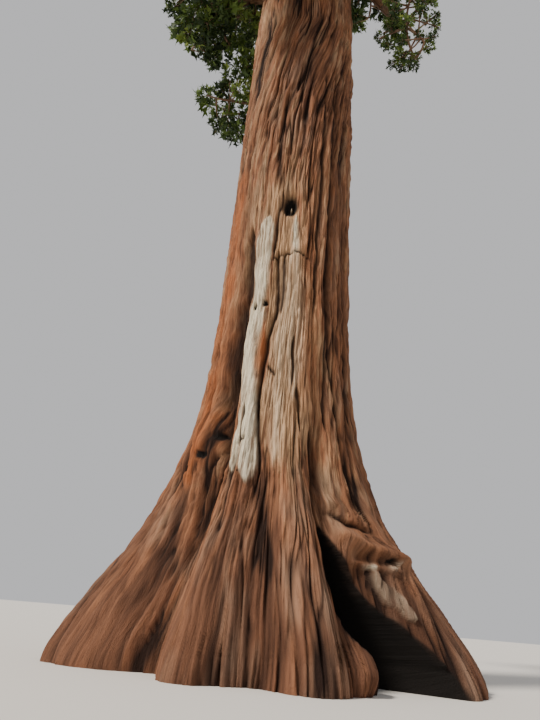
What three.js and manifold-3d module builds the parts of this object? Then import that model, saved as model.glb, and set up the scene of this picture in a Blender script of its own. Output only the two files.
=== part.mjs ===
// A mature giant sequoia: a fluted trunk on a wide root flare with a fire-scar hollow at its foot,
// long bare shaft, and a domed crown of boughs that each end in one mass of foliage.
// The living tree is 76 m tall and is drawn evenly scaled to 40 m.
// Sizes are the living tree's, in metres, until METRE turns them into the model's millimetres.
// Bearings are in degrees round the trunk: 0 faces the front (-Y), 90 faces the right (+X).

import * as THREE from "three";
import { mergeVertices } from "three/addons/utils/BufferGeometryUtils.js";
import Module from "manifold-3d";

const wasm = await Module();
wasm.setup();

// Driving dimensions
const LIVING_HEIGHT = 76;
const MODEL_HEIGHT = 40000;
const METRE = MODEL_HEIGHT / LIVING_HEIGHT;
const CLEARANCE = 0.3 / METRE;
const SHORTEST_EDGE = 0.05;
const CHECKED_DECIMALS = [3, 4];
const WRITTEN_DECIMALS = 4;

// Trunk
const SHAFT_RADIUS = 2.5;
const TAPER_START = 30;
const TRUNK_TOP = 71.6;
const TRUNK_TOP_RADIUS = 0.16;
const TAPER_POWER = 1.25;
const FLARE_HEIGHT = 4.3;
const FLARE_POWER = 1.5;
const FLARE_REACH = 1.75;
const GROOVE_FULL_SHARE = 0.35;

// Root buttresses: where each stands on the shaft, how far it swings round on its way to the ground,
// how far it stands out there, and its half width.
const BUTTRESSES = [
  { bearing: 82, swing: 0, reach: 2.35, width: 17 },
  { bearing: 56, swing: 4, reach: 0.9, width: 8 },
  { bearing: 12, swing: 8, reach: 1.3, width: 10 },
  { bearing: -20, swing: -2, reach: 0.9, width: 9 },
  { bearing: -74, swing: 0, reach: 2.1, width: 18 },
  { bearing: -118, swing: -4, reach: 1.6, width: 14 },
  { bearing: -158, swing: 3, reach: 1.9, width: 13 },
  { bearing: 163, swing: -3, reach: 1.2, width: 11 },
  { bearing: 126, swing: 3, reach: 1.7, width: 13 },
];

// Long grooves between the buttresses, each fading out at its top.
const GROOVES = [
  { bearing: -40, depth: 0.62, width: 7, top: 19 },
  { bearing: 27, depth: 0.42, width: 5, top: 12 },
  { bearing: -97, depth: 0.45, width: 7, top: 16 },
  { bearing: -138, depth: 0.4, width: 7, top: 14 },
  { bearing: 183, depth: 0.45, width: 7, top: 17 },
  { bearing: 144, depth: 0.38, width: 6, top: 13 },
  { bearing: 105, depth: 0.42, width: 6, top: 15 },
];

// Fire-scar hollow: a leaning cave in the right front, by the bearings of its two sides at each height
// and the radius of its back wall there.
const HOLLOW = [
  { height: -0.5, left: 38, right: 63, back: 2.2 },
  { height: 0.6, left: 37, right: 61, back: 2.2 },
  { height: 1.1, left: 29, right: 58, back: 2.2 },
  { height: 1.7, left: 25, right: 53, back: 2.2 },
  { height: 2.3, left: 24, right: 46, back: 2.25 },
  { height: 3, left: 23.5, right: 40, back: 2.4 },
  { height: 3.6, left: 24, right: 33, back: 2.6 },
  { height: 4.05, left: 25.5, right: 27.5, back: 2.9 },
];
const HOLLOW_NARROWING = 0.7;
const HOLLOW_CUT_RADIUS = 9;

// Swellings of the trunk: a rolled burl over the hollow, its drooping lip, the toe beside its mouth,
// gnarled wood on the left ridge, and old branch scars.
const SWELLINGS = [
  { bearing: 48, height: 3.55, out: 0.34, width: 9, rise: 0.42 },
  { bearing: 36, height: 4.1, out: 0.16, width: 5, rise: 0.5 },
  { bearing: 56, height: 2.7, out: 0.26, width: 6, rise: 0.7 },
  { bearing: 33, height: 0.55, out: 0.55, width: 4.5, rise: 0.45 },
  { bearing: -52, height: 6.2, out: 0.3, width: 8, rise: 0.8 },
  { bearing: -1, height: 16.2, out: 0.1, width: 7, rise: 0.6 },
  { bearing: 92, height: 22.7, out: 0.16, width: 8, rise: 0.5 },
  { bearing: 92, height: 26.3, out: 0.14, width: 8, rise: 0.5 },
];

// Crown
const CROWN_FOOT = 28;
const CROWN_RADIUS = 10.6;
const CROWN_POWER = 2.4;
const CROWN_ROUNDNESS = 0.8;
const GOLDEN_ANGLE = 137.508;
const FIRST_BEARING = 200;
const LOWEST_MASS = 30.5;
const HIGHEST_MASS = 70;
const BOUGH_STEPS = 31;
const BARE_SECTOR = { from: 60, to: 182, below: 43 };
const CROWN_SEED = 900;
const BEARING_NUDGE = 9;
const RISE_NUDGE = 0.6;
const GROWTH = { least: 0.9, most: 1.08 };
const LEAST_CROWN_SHARE = 0.88;
const MASS_SIZE = { out: 3.9, across: 4.9, up: 3.7 };
const MASS_SHRINK = 0.3;
const MASS_ENTRY = 0.72;
const LOW_RISE = -0.6;
const HIGH_RISE = 5.2;
const BOUGH_ROOT_RADIUS = 0.62;
const BOUGH_THINNING = 0.62;
const BOUGH_TIP_SHARE = 0.45;
const BOUGH_DEPTH_SHARE = 0.5;
const ELBOW_SHARE = 0.55;
const ELBOW_RISE = 0.12;
const SHORTEST_BOUGH = 1.3;
const LEAST_REACH = 2;
const BOUGH_SIDES = 6;
const BOUGH_SEGMENTS = 4;

// One low bough hangs down on the right, with loose foliage below it.
const HANGING_BOUGH = {
  bearing: 84,
  rootHeight: 35.2,
  slimness: 0.7,
  reach: 5.4,
  massHeight: 30.6,
  size: { out: 2.3, across: 2.5, up: 3.4 },
};

// The leading shoot and the foliage round it at the top.
const TOP_MASS = { height: 73.4, size: { out: 2.9, across: 2.9, up: 2.6 } };

// Foliage
const CORE_SHARE = 0.58;
const CORE_LUMPS = 0.2;
const TWIGS_PER_MASS = 7;
const SPRAYS_PER_TWIG = 2;
const TWIG_REACH = 0.8;
const TWIG_RADIUS = 0.1;
const SPRAY_ROOT = 0.5;
const SPRAY_WIDTH = 0.92;
const SPRAY_THICKNESS = 0.16;
const SPRAY_SPREAD = 0.95;
const LEAST_SPRAY_REACH = 0.86;
const SPRAY_ROLL = 0.5;
const TWIG_TURN_NUDGE = 0.3;
const TWIG_SIDES = 3;
const SPACE_MARGIN = 0.04;
const LEAST_ROOM = 0.05;
const LIMB_MARGIN = 0.05;
const STEM_SIDES = 5;
const STEM_TAPER = 0.6;
const STEM_BEND_SHARE = 0.5;
const LEADER_TIP_RADIUS = 0.02;
const LIMB_STEPS = 24;
const FOLIAGE_SEED = 4000;
const NEXT_TRY = 100;
const MOST_TRIES = 40;

const BARK = { color: 0x8a5237, roughness: 0.95, metalness: 0 };
const LIMB_BARK = { color: 0x8d5a40, roughness: 0.95, metalness: 0 };
const FOLIAGE = { color: 0x55702f, roughness: 0.8, metalness: 0 };

const radians = THREE.MathUtils.degToRad;
const { clamp, lerp, smoothstep } = THREE.MathUtils;

// The same seeded numbers in any language: a 32-bit linear congruential generator.
const SEED_FACTOR = 1664525;
const SEED_STEP = 1013904223;

function seededNumbers(seed) {
  let state = seed >>> 0;
  return () => {
    state = (Math.imul(state, SEED_FACTOR) + SEED_STEP) >>> 0;
    return state / 2 ** 32;
  };
}

function outward(bearing) {
  return new THREE.Vector3(Math.sin(radians(bearing)), -Math.cos(radians(bearing)), 0);
}

function turnBetween(bearing, other) {
  return ((((bearing - other) % 360) + 540) % 360) - 180;
}

function hump(turn, width) {
  return Math.exp(-0.5 * (turn / width) ** 2);
}

function shaftRadius(height) {
  const t = clamp((height - TAPER_START) / (TRUNK_TOP - TAPER_START), 0, 1);
  return lerp(SHAFT_RADIUS, TRUNK_TOP_RADIUS, t ** TAPER_POWER);
}

function flareShare(height) {
  return Math.exp(-((Math.max(height, 0) / FLARE_HEIGHT) ** FLARE_POWER));
}

function trunkRadius(bearing, height) {
  const flare = flareShare(height);
  let radius = shaftRadius(height) + FLARE_REACH * flare;
  for (const b of BUTTRESSES) {
    radius += b.reach * flare * hump(turnBetween(bearing, b.bearing + b.swing * flare), b.width);
  }
  for (const g of GROOVES) {
    const fade = 1 - smoothstep(height, g.top * GROOVE_FULL_SHARE, g.top);
    radius -= g.depth * fade * hump(turnBetween(bearing, g.bearing), g.width);
  }
  for (const k of SWELLINGS) {
    radius += k.out * hump(turnBetween(bearing, k.bearing), k.width) * hump(height - k.height, k.rise);
  }
  return radius;
}

// A closed geometry as a manifold solid.
function solidOf(geometry) {
  geometry.deleteAttribute("normal");
  geometry.deleteAttribute("uv");
  const merged = mergeVertices(geometry, 1e-3);
  return new wasm.Manifold(
    new wasm.Mesh({
      numProp: 3,
      vertProperties: new Float32Array(merged.attributes.position.array),
      triVerts: new Uint32Array(merged.index.array),
    }),
  );
}

function geometryOf(solid) {
  const mesh = solid.getMesh();
  const geometry = new THREE.BufferGeometry();
  geometry.setAttribute("position", new THREE.BufferAttribute(mesh.vertProperties, 3));
  geometry.setIndex(new THREE.BufferAttribute(mesh.triVerts, 1));
  geometry.computeVertexNormals();
  return geometry;
}

// Moves every vertex of a geometry by a function of its place, and turns it into a solid in millimetres.
function shaped(geometry, place) {
  const position = geometry.attributes.position;
  const point = new THREE.Vector3();
  for (let i = 0; i < position.count; i++) {
    point.fromBufferAttribute(position, i);
    const moved = place(point).multiplyScalar(METRE);
    position.setXYZ(i, moved.x, moved.y, moved.z);
  }
  return solidOf(geometry);
}

function largestPiece(solid) {
  const pieces = solid.decompose();
  return pieces.reduce((best, piece) => (piece.volume() > best.volume() ? piece : best));
}

// Collapses edges too short to matter, fills sealed hollows and drops loose scraps.
function tidied(solid) {
  const kept = largestPiece(solid.simplify(SHORTEST_EDGE));
  return largestPiece(solidOf(geometryOf(kept)));
}

// A solid's corners rounded to a number of decimals, and its faces as triples of their numbers.
function rounded(solid, decimals) {
  const mesh = solid.getMesh();
  const corners = [];
  const numbers = new Map();
  const numberOf = (vertex) => {
    const place = [0, 1, 2].map((axis) => mesh.vertProperties[vertex * mesh.numProp + axis].toFixed(decimals));
    const key = place.join();
    if (!numbers.has(key)) {
      numbers.set(key, corners.length);
      corners.push(new THREE.Vector3(...place.map(Number)));
    }
    return numbers.get(key);
  };
  const faces = [];
  for (let i = 0; i < mesh.triVerts.length; i += 3) {
    const face = [0, 1, 2].map((corner) => numberOf(mesh.triVerts[i + corner]));
    if (new Set(face).size === 3) faces.push(face);
  }
  return { corners, faces };
}

// True if every edge still joins just two faces once the corners are rounded to a number of decimals.
function closesWhenRounded(solid, decimals) {
  const edges = new Map();
  for (const face of rounded(solid, decimals).faces) {
    face.forEach((from, corner) => {
      const key = from + ">" + face[(corner + 1) % 3];
      edges.set(key, (edges.get(key) ?? 0) + 1);
    });
  }
  return [...edges].every(([key, count]) => count === 1 && edges.get(key.split(">").reverse().join(">")) === 1);
}

function isClean(solid) {
  return CHECKED_DECIMALS.every((decimals) => closesWhenRounded(solid, decimals));
}

// The face that a solid's written copy begins with. The copy is laid down face by face in patches, and
// a face that joins two patches puts the other patch behind the one that its first shared edge lies on.
function firstWrittenFace(faces) {
  const kept = (patch) => (patch.joined ? kept(patch.joined) : patch);
  const openEdges = new Map();
  let patch;
  for (const face of faces) {
    const edges = face.map((from, corner) => [from, face[(corner + 1) % 3]].sort((a, b) => a - b).join());
    const shared = edges.find((edge) => openEdges.has(edge));
    patch = shared === undefined ? { first: face } : kept(openEdges.get(shared));
    for (const edge of edges) {
      if (!openEdges.has(edge)) {
        openEdges.set(edge, patch);
        continue;
      }
      const other = kept(openEdges.get(edge));
      if (other !== patch) other.joined = patch;
      openEdges.delete(edge);
    }
  }
  return patch.first;
}

// Points of a face to look out from, as shares of its three corners.
const LOOKOUTS = [
  [1 / 3, 1 / 3, 1 / 3],
  [0.8, 0.1, 0.1],
  [0.1, 0.8, 0.1],
  [0.1, 0.1, 0.8],
  [0.45, 0.45, 0.1],
  [0.45, 0.1, 0.45],
  [0.1, 0.45, 0.45],
];

// True if the first written face looks straight out into open air. A copy that begins with a face that
// looks onto another part of the solid is read back inside out.
function readsBackRight(solid) {
  const { corners, faces } = rounded(solidOf(geometryOf(solid).toNonIndexed()), WRITTEN_DECIMALS);
  const first = firstWrittenFace(faces);
  const [a, b, c] = first.map((number) => corners[number]);
  const normal = new THREE.Triangle(a, b, c).getNormal(new THREE.Vector3());
  return LOOKOUTS.every(([shareA, shareB, shareC]) => {
    const from = new THREE.Vector3()
      .addScaledVector(a, shareA)
      .addScaledVector(b, shareB)
      .addScaledVector(c, shareC);
    const ray = new THREE.Ray(from, normal);
    const hit = new THREE.Vector3();
    return faces.every(
      (face) => face === first || !ray.intersectTriangle(...face.map((number) => corners[number]), false, hit),
    );
  });
}

// Trunk: a closed cylinder whose columns crowd together at the front and whose rings crowd at the foot.
const TRUNK_COLUMNS = 48;
const TRUNK_RINGS = 22;
const FRONT_CROWDING = 16;
const RING_POWER = 1.9;

function trunkSolid(extra) {
  const blank = new THREE.CylinderGeometry(1, 1, 1, TRUNK_COLUMNS, TRUNK_RINGS);
  return shaped(blank, (p) => {
    const height = TRUNK_TOP * (p.y + 0.5) ** RING_POWER;
    const onAxis = Math.hypot(p.x, p.z) < 0.5;
    const even = THREE.MathUtils.radToDeg(Math.atan2(p.x, p.z));
    const bearing = even - FRONT_CROWDING * Math.sin(radians(even));
    const radius = onAxis ? 0 : trunkRadius(bearing, height) + extra;
    return outward(bearing).multiplyScalar(radius).setZ(height);
  });
}

// The hollow's cutter, from outside the bark to the hollow's back wall.
function hollowSolid() {
  const blank = new THREE.BoxGeometry(1, 1, 1, 1, 1, HOLLOW.length - 1);
  return shaped(blank, (p) => {
    const row = HOLLOW[Math.round((p.z + 0.5) * (HOLLOW.length - 1))];
    const middle = (row.left + row.right) / 2;
    const half = ((row.right - row.left) / 2) * (p.y > 0 ? HOLLOW_NARROWING : 1);
    const bearing = middle + (p.x > 0 ? half : -half);
    return outward(bearing).multiplyScalar(p.y > 0 ? row.back : HOLLOW_CUT_RADIUS).setZ(row.height);
  });
}

// A limb: a cylinder drawn along a curve, tapering from its root to its tip, which it may run beyond.
function limbSolid(curve, rootRadius, tipRadius, sides, segments, beyond = 0) {
  const blank = new THREE.CylinderGeometry(1, 1, 1, sides, segments);
  const frames = curve.computeFrenetFrames(segments, false);
  return shaped(blank, (p) => {
    const t = p.y + 0.5;
    const frame = Math.round(t * segments);
    const radius = lerp(rootRadius, tipRadius, t);
    return curve
      .getPointAt(t)
      .addScaledVector(frames.tangents[frame], frame === segments ? beyond : 0)
      .addScaledVector(frames.normals[frame], p.z * radius)
      .addScaledVector(frames.binormals[frame], p.x * radius);
  });
}

// The crown's outline: how far foliage reaches from the trunk's axis at a height.
function crownRadius(height) {
  const t = clamp((height - CROWN_FOOT) / (LIVING_HEIGHT - CROWN_FOOT), 0, 1);
  return CROWN_RADIUS * (1 - t ** CROWN_POWER) ** CROWN_ROUNDNESS;
}

function massSpace(name, bearing, distance, height, size) {
  const radial = outward(bearing);
  const across = outward(bearing + 90);
  return { name, centre: radial.clone().multiplyScalar(distance).setZ(height), radial, across, size, planes: [] };
}

// A point of a mass's space, from a direction and a share of the way to its rim.
function inSpace(space, direction, share) {
  return space.centre
    .clone()
    .addScaledVector(space.radial, direction.x * space.size.out * share)
    .addScaledVector(space.across, direction.y * space.size.across * share)
    .add(new THREE.Vector3(0, 0, direction.z * space.size.up * share));
}

// A bough's centreline: out from the heart of the trunk, round an elbow, and into its mass's rim.
function boughCurve(space, bearing, rootHeight) {
  const bark = shaftRadius(rootHeight);
  const root = outward(bearing).multiplyScalar(bark * BOUGH_DEPTH_SHARE).setZ(rootHeight);
  const collar = outward(bearing).multiplyScalar(bark).setZ(rootHeight);
  const back = collar.clone().sub(space.centre);
  const room = back.length() - SHORTEST_BOUGH;
  const direction = directionIn(space, back.normalize());
  const rim = inSpace(space, direction, 1).distanceTo(space.centre);
  const entry = placeIn(space, direction, Math.min(MASS_ENTRY, room / rim));
  const elbow = outward(bearing)
    .multiplyScalar(lerp(bark, Math.hypot(entry.x, entry.y), ELBOW_SHARE))
    .setZ(lerp(rootHeight, entry.z, ELBOW_RISE));
  return new THREE.QuadraticBezierCurve3(root, elbow, entry);
}

// Boughs climb the trunk in a spiral; the sector at the back right stays bare below its own height.
function layOutCrown() {
  const limbs = [];
  for (let step = 0; step < BOUGH_STEPS; step++) {
    const t = step / (BOUGH_STEPS - 1);
    const chance = seededNumbers(CROWN_SEED + step);
    const bearing = FIRST_BEARING + step * GOLDEN_ANGLE + lerp(-BEARING_NUDGE, BEARING_NUDGE, chance());
    const height = lerp(LOWEST_MASS, HIGHEST_MASS, t);
    const round = ((bearing % 360) + 360) % 360;
    const bare = round > BARE_SECTOR.from && round < BARE_SECTOR.to && height < BARE_SECTOR.below;
    if (bare) continue;
    const grow = (1 - MASS_SHRINK * t) * lerp(GROWTH.least, GROWTH.most, chance());
    const size = { out: MASS_SIZE.out * grow, across: MASS_SIZE.across * grow, up: MASS_SIZE.up * grow };
    const reach = crownRadius(height) * lerp(LEAST_CROWN_SHARE, 1, chance());
    const label = String(limbs.length + 1).padStart(2, "0");
    const rise = lerp(LOW_RISE, HIGH_RISE, t) + lerp(-RISE_NUDGE, RISE_NUDGE, chance());
    const rootHeight = height - rise;
    const distance = Math.max(reach - size.out, shaftRadius(rootHeight) + LEAST_REACH);
    const space = massSpace("foliage_" + label, bearing, distance, height, size);
    const rootRadius = BOUGH_ROOT_RADIUS * (1 - BOUGH_THINNING * t);
    limbs.push({ label, space, bearing, rootHeight, rootRadius });
  }
  const h = HANGING_BOUGH;
  const label = String(limbs.length + 1).padStart(2, "0");
  const space = massSpace("foliage_" + label, h.bearing, h.reach, h.massHeight, h.size);
  const rootRadius = BOUGH_ROOT_RADIUS * h.slimness;
  limbs.push({ label, space, bearing: h.bearing, rootHeight: h.rootHeight, rootRadius });
  return limbs;
}

// A plane between two neighbouring masses, set where their spaces would meet, keeps each on its own side.
function reachTowards(space, direction) {
  const { out, across, up } = space.size;
  return Math.hypot(direction.dot(space.radial) * out, direction.dot(space.across) * across, direction.z * up);
}

function partTheSpaces(spaces) {
  spaces.forEach((a, i) => {
    for (const b of spaces.slice(i + 1)) {
      const between = b.centre.clone().sub(a.centre);
      const gap = between.length();
      const direction = between.normalize();
      const reachA = reachTowards(a, direction);
      const reachB = reachTowards(b, direction);
      if (reachA + reachB < gap) continue;
      const split = (gap * reachA) / (reachA + reachB);
      a.planes.push({ normal: direction, limit: direction.dot(a.centre) + split - SPACE_MARGIN });
      const back = direction.clone().negate();
      b.planes.push({ normal: back, limit: back.dot(b.centre) + gap - split - SPACE_MARGIN });
    }
  });
}

function shareInside(space, direction, share) {
  const rim = inSpace(space, direction, share);
  const ray = rim.clone().sub(space.centre);
  let inside = 1;
  for (const plane of space.planes) {
    const along = plane.normal.dot(ray);
    const room = plane.limit - plane.normal.dot(space.centre);
    if (along > room) inside = Math.min(inside, Math.max(room, LEAST_ROOM) / along);
  }
  return share * inside;
}

function placeIn(space, direction, share) {
  return inSpace(space, direction, shareInside(space, direction, share));
}

// A heading of the model as a direction in a space's own stretched frame.
function directionIn(space, heading) {
  const { out, across, up } = space.size;
  const x = heading.dot(space.radial) / out;
  const y = heading.dot(space.across) / across;
  return new THREE.Vector3(x, y, heading.z / up).normalize();
}

function keepsToSpace(space, point) {
  return space.planes.every((plane) => plane.normal.dot(point) < plane.limit);
}

function clearOfLimbs(point, limbs, own) {
  if (point.z < TRUNK_TOP) {
    const bearing = THREE.MathUtils.radToDeg(Math.atan2(point.x, -point.y));
    if (Math.hypot(point.x, point.y) < trunkRadius(bearing, point.z) + LIMB_MARGIN) return false;
  }
  for (const limb of limbs) {
    if (limb === own) continue;
    for (const step of limb.steps) {
      if (step.point.distanceTo(point) < step.radius + LIMB_MARGIN) return false;
    }
  }
  return true;
}

// A foliage spray: a flat, toothed blade of twelve faces from its root to its tip.
const SPRAY_OUTLINE = [
  [0, 0],
  [0.52, 0.5],
  [0.66, 0.2],
  [1, 0],
  [0.72, -0.22],
  [0.44, -0.46],
];

// Where a spray's corners lie. Its flat sides face out of the mass and into it, but for its roll.
function sprayPlaces(root, tip, centre, roll) {
  const along = tip.clone().sub(root);
  const length = along.length();
  along.normalize();
  const away = root.clone().lerp(tip, 0.5).sub(centre).normalize();
  const side = new THREE.Vector3().crossVectors(along, away).normalize().applyAxisAngle(along, roll);
  const face = new THREE.Vector3().crossVectors(along, side);
  const at = (u, v, w) =>
    root
      .clone()
      .addScaledVector(along, u * length)
      .addScaledVector(side, v * length * SPRAY_WIDTH)
      .addScaledVector(face, w);
  const rim = SPRAY_OUTLINE.map(([u, v]) => at(u, v, 0));
  return { rim, top: at(0.5, 0, SPRAY_THICKNESS), bottom: at(0.5, 0, -SPRAY_THICKNESS) };
}

function spraySolid(places) {
  const count = SPRAY_OUTLINE.length;
  const blank = new THREE.SphereGeometry(1, count, 2);
  return shaped(blank, (p) => {
    if (p.y > 0.5) return places.top.clone();
    if (p.y < -0.5) return places.bottom.clone();
    const turn = Math.atan2(p.z, -p.x) / (2 * Math.PI);
    return places.rim[(Math.round(turn * count) + count) % count].clone();
  });
}

function twigSolid(from, to, radius) {
  const blank = new THREE.ConeGeometry(1, 1, TWIG_SIDES, 1);
  const along = to.clone().sub(from).normalize();
  const turn = new THREE.Quaternion().setFromUnitVectors(new THREE.Vector3(0, 1, 0), along);
  return shaped(blank, (p) =>
    new THREE.Vector3(p.x * radius, 0, p.z * radius)
      .applyQuaternion(turn)
      .add(from.clone().lerp(to, p.y + 0.5)),
  );
}

// Even directions over a sphere, each nudged by the mass's own seeded numbers.
function spreadDirection(index, count, chance) {
  const z = 1 - (2 * index + 1) / count;
  const turn = radians(index * GOLDEN_ANGLE) + lerp(-TWIG_TURN_NUDGE, TWIG_TURN_NUDGE, chance());
  const flat = Math.sqrt(1 - z * z);
  return new THREE.Vector3(Math.cos(turn) * flat, Math.sin(turn) * flat, z);
}

function coreSolid(space, chance) {
  const blank = new THREE.IcosahedronGeometry(1, 1);
  const seen = new Map();
  return shaped(blank, (p) => {
    const key = p.toArray().map((x) => x.toFixed(4)).join();
    if (!seen.has(key)) seen.set(key, 1 + lerp(-CORE_LUMPS, CORE_LUMPS, chance()));
    const direction = p.clone().normalize();
    return placeIn(space, direction, CORE_SHARE * seen.get(key));
  });
}

// The twigs and sprays of one mass: twigs spread from its middle, and sprays fork off each twig.
// Each piece is cut clear of the limbs as it is joined on, and is left out if the join isn't clean.
function grownMass(space, stem, limbs, own, grownLimbs, seed) {
  const chance = seededNumbers(seed);
  const pieces = [];
  for (let i = 0; i < TWIGS_PER_MASS; i++) {
    const direction = spreadDirection(i, TWIGS_PER_MASS, chance);
    const tip = placeIn(space, direction, TWIG_REACH);
    if (clearOfLimbs(tip, limbs, own)) pieces.push(twigSolid(space.centre, tip, TWIG_RADIUS));
    for (let j = 0; j < SPRAYS_PER_TWIG; j++) {
      const fork = new THREE.Vector3(chance() - 0.5, chance() - 0.5, chance() - 0.5).normalize();
      const heading = direction.clone().addScaledVector(fork, SPRAY_SPREAD).normalize();
      const reach = lerp(LEAST_SPRAY_REACH, 1, chance());
      const roll = lerp(-SPRAY_ROLL, SPRAY_ROLL, chance());
      const root = placeIn(space, direction, SPRAY_ROOT);
      const rim = placeIn(space, heading, reach);
      const places = sprayPlaces(root, rim, space.centre, roll);
      const corners = [...places.rim, places.top, places.bottom];
      const fits = corners.every((c) => keepsToSpace(space, c) && clearOfLimbs(c, limbs, own));
      if (fits) pieces.push(spraySolid(places));
    }
  }
  const body = tidied(stem.add(coreSolid(space, chance)).subtract(grownLimbs));
  return pieces.reduce((joined, piece) => {
    const next = tidied(joined.add(piece.subtract(grownLimbs)));
    return isClean(next) ? next : joined;
  }, body);
}

// A mass that reads back right from its written copy, grown from the first seed that gives one.
function massSolid(space, stem, limbs, own, grownLimbs, seed) {
  for (let attempt = 0; attempt < MOST_TRIES; attempt++) {
    const mass = grownMass(space, stem, limbs, own, grownLimbs, seed + attempt * NEXT_TRY);
    if (readsBackRight(mass)) return mass;
  }
  throw new Error(space.name + " finds no seed that reads back right");
}

function namedMesh(name, solid, finish) {
  const mesh = new THREE.Mesh(geometryOf(solid), new THREE.MeshStandardMaterial(finish));
  mesh.name = name;
  return mesh;
}

function buildTree() {
  const tree = new THREE.Group();
  const trunk = trunkSolid(0).subtract(hollowSolid());
  const grownTrunk = trunkSolid(CLEARANCE);
  tree.add(namedMesh("trunk", tidied(trunk), BARK));

  const limbs = layOutCrown();
  const top = massSpace("foliage_top", 0, 0, TOP_MASS.height, TOP_MASS.size);
  partTheSpaces([...limbs.map((limb) => limb.space), top]);
  let grownLimbs = grownTrunk;
  for (const limb of limbs) {
    const { space, bearing, rootHeight, rootRadius } = limb;
    const tipRadius = rootRadius * BOUGH_TIP_SHARE;
    limb.curve = boughCurve(space, bearing, rootHeight);
    limb.steps = limb.curve.getSpacedPoints(LIMB_STEPS).map((point, i) => ({
      point,
      radius: lerp(rootRadius, tipRadius, i / LIMB_STEPS),
    }));
    const bough = limbSolid(limb.curve, rootRadius, tipRadius, BOUGH_SIDES, BOUGH_SEGMENTS);
    tree.add(namedMesh("bough_" + limb.label, tidied(bough.subtract(grownTrunk)), LIMB_BARK));
    const grown = rootRadius + CLEARANCE;
    const tipGrown = tipRadius + CLEARANCE;
    grownLimbs = grownLimbs.add(
      limbSolid(limb.curve, grown, tipGrown, BOUGH_SIDES, BOUGH_SEGMENTS, CLEARANCE),
    );
  }

  limbs.forEach((limb, i) => {
    const tipRadius = limb.rootRadius * BOUGH_TIP_SHARE;
    const along = limb.curve.getTangent(1);
    const start = limb.curve.getPoint(1).addScaledVector(along, CLEARANCE);
    const bend = start.clone().addScaledVector(along, start.distanceTo(limb.space.centre) * STEM_BEND_SHARE);
    const stemPath = new THREE.QuadraticBezierCurve3(start, bend, limb.space.centre);
    const stem = limbSolid(stemPath, tipRadius, tipRadius * STEM_TAPER, STEM_SIDES, 2);
    const mass = massSolid(limb.space, stem, limbs, limb, grownLimbs, FOLIAGE_SEED + i);
    tree.add(namedMesh(limb.space.name, mass, FOLIAGE));
  });

  const leader = new THREE.LineCurve3(
    new THREE.Vector3(0, 0, TRUNK_TOP + CLEARANCE),
    new THREE.Vector3(0, 0, LIVING_HEIGHT),
  );
  const leaderStem = limbSolid(leader, TRUNK_TOP_RADIUS, LEADER_TIP_RADIUS, STEM_SIDES, 1);
  const topMass = massSolid(top, leaderStem, limbs, null, grownLimbs, FOLIAGE_SEED + limbs.length);
  tree.add(namedMesh(top.name, topMass, FOLIAGE));
  return tree;
}

export default buildTree();
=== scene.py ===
"""A mature giant sequoia: bark, boughs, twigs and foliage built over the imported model.

Sizes of the tree are the living tree's, in metres, until LIVING_METRE turns them into the
model's metres. Those of the finishes and the studio are in the model's metres.
Bearings are in degrees round the trunk: 0 faces the front (-Y), 90 faces the right (+X).
"""

from __future__ import annotations

import itertools
import logging
import math
from dataclasses import dataclass, field
from enum import Enum

import bpy
import numpy as np
from mathutils import Matrix, Vector


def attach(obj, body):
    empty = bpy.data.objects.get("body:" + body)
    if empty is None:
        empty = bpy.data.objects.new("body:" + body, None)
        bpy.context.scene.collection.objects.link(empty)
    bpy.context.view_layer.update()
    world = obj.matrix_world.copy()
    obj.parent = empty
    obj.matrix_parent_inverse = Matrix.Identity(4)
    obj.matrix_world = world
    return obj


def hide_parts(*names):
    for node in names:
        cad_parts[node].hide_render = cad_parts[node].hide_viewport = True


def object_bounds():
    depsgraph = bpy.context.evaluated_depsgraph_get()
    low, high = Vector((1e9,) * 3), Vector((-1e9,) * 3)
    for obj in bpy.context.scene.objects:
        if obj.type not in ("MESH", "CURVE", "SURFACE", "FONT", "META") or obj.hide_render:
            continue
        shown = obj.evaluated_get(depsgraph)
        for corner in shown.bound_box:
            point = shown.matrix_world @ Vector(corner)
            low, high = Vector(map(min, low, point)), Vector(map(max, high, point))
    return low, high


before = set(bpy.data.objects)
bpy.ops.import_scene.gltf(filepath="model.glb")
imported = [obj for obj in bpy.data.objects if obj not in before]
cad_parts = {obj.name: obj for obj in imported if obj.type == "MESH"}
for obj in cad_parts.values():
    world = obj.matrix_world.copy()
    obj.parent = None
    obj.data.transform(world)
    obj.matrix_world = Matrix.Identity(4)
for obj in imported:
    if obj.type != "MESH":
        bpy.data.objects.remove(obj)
CAD_BOX = [list(corner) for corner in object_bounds()]

LOG = logging.getLogger("sequoia")
BODY = "root"

# Driving sizes
LIVING_HEIGHT = 76.0
MODEL_HEIGHT = 40.0
LIVING_METRE = MODEL_HEIGHT / LIVING_HEIGHT
SHAFT_RADIUS = 2.5
TAPER_START = 30.0
TRUNK_TOP = 71.6
TRUNK_TOP_RADIUS = 0.16
TAPER_POWER = 1.25
GOLDEN_ANGLE = 137.508
FULL_TURN = 360.0
QUARTER_TURN = FULL_TURN / 4.0
UP = np.array((0.0, 0.0, 1.0))
NEXT_TO_NOTHING = 1e-9

# Bearings, distances from the trunk's axis, and heights
Places = tuple[np.ndarray, np.ndarray, np.ndarray]


# Numbers

SCREEN_LEVELS = 255.0
SCREEN_TOE = 0.04045
SCREEN_TOE_SLOPE = 12.92
SCREEN_OFFSET = 0.055
SCREEN_POWER = 2.4


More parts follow.
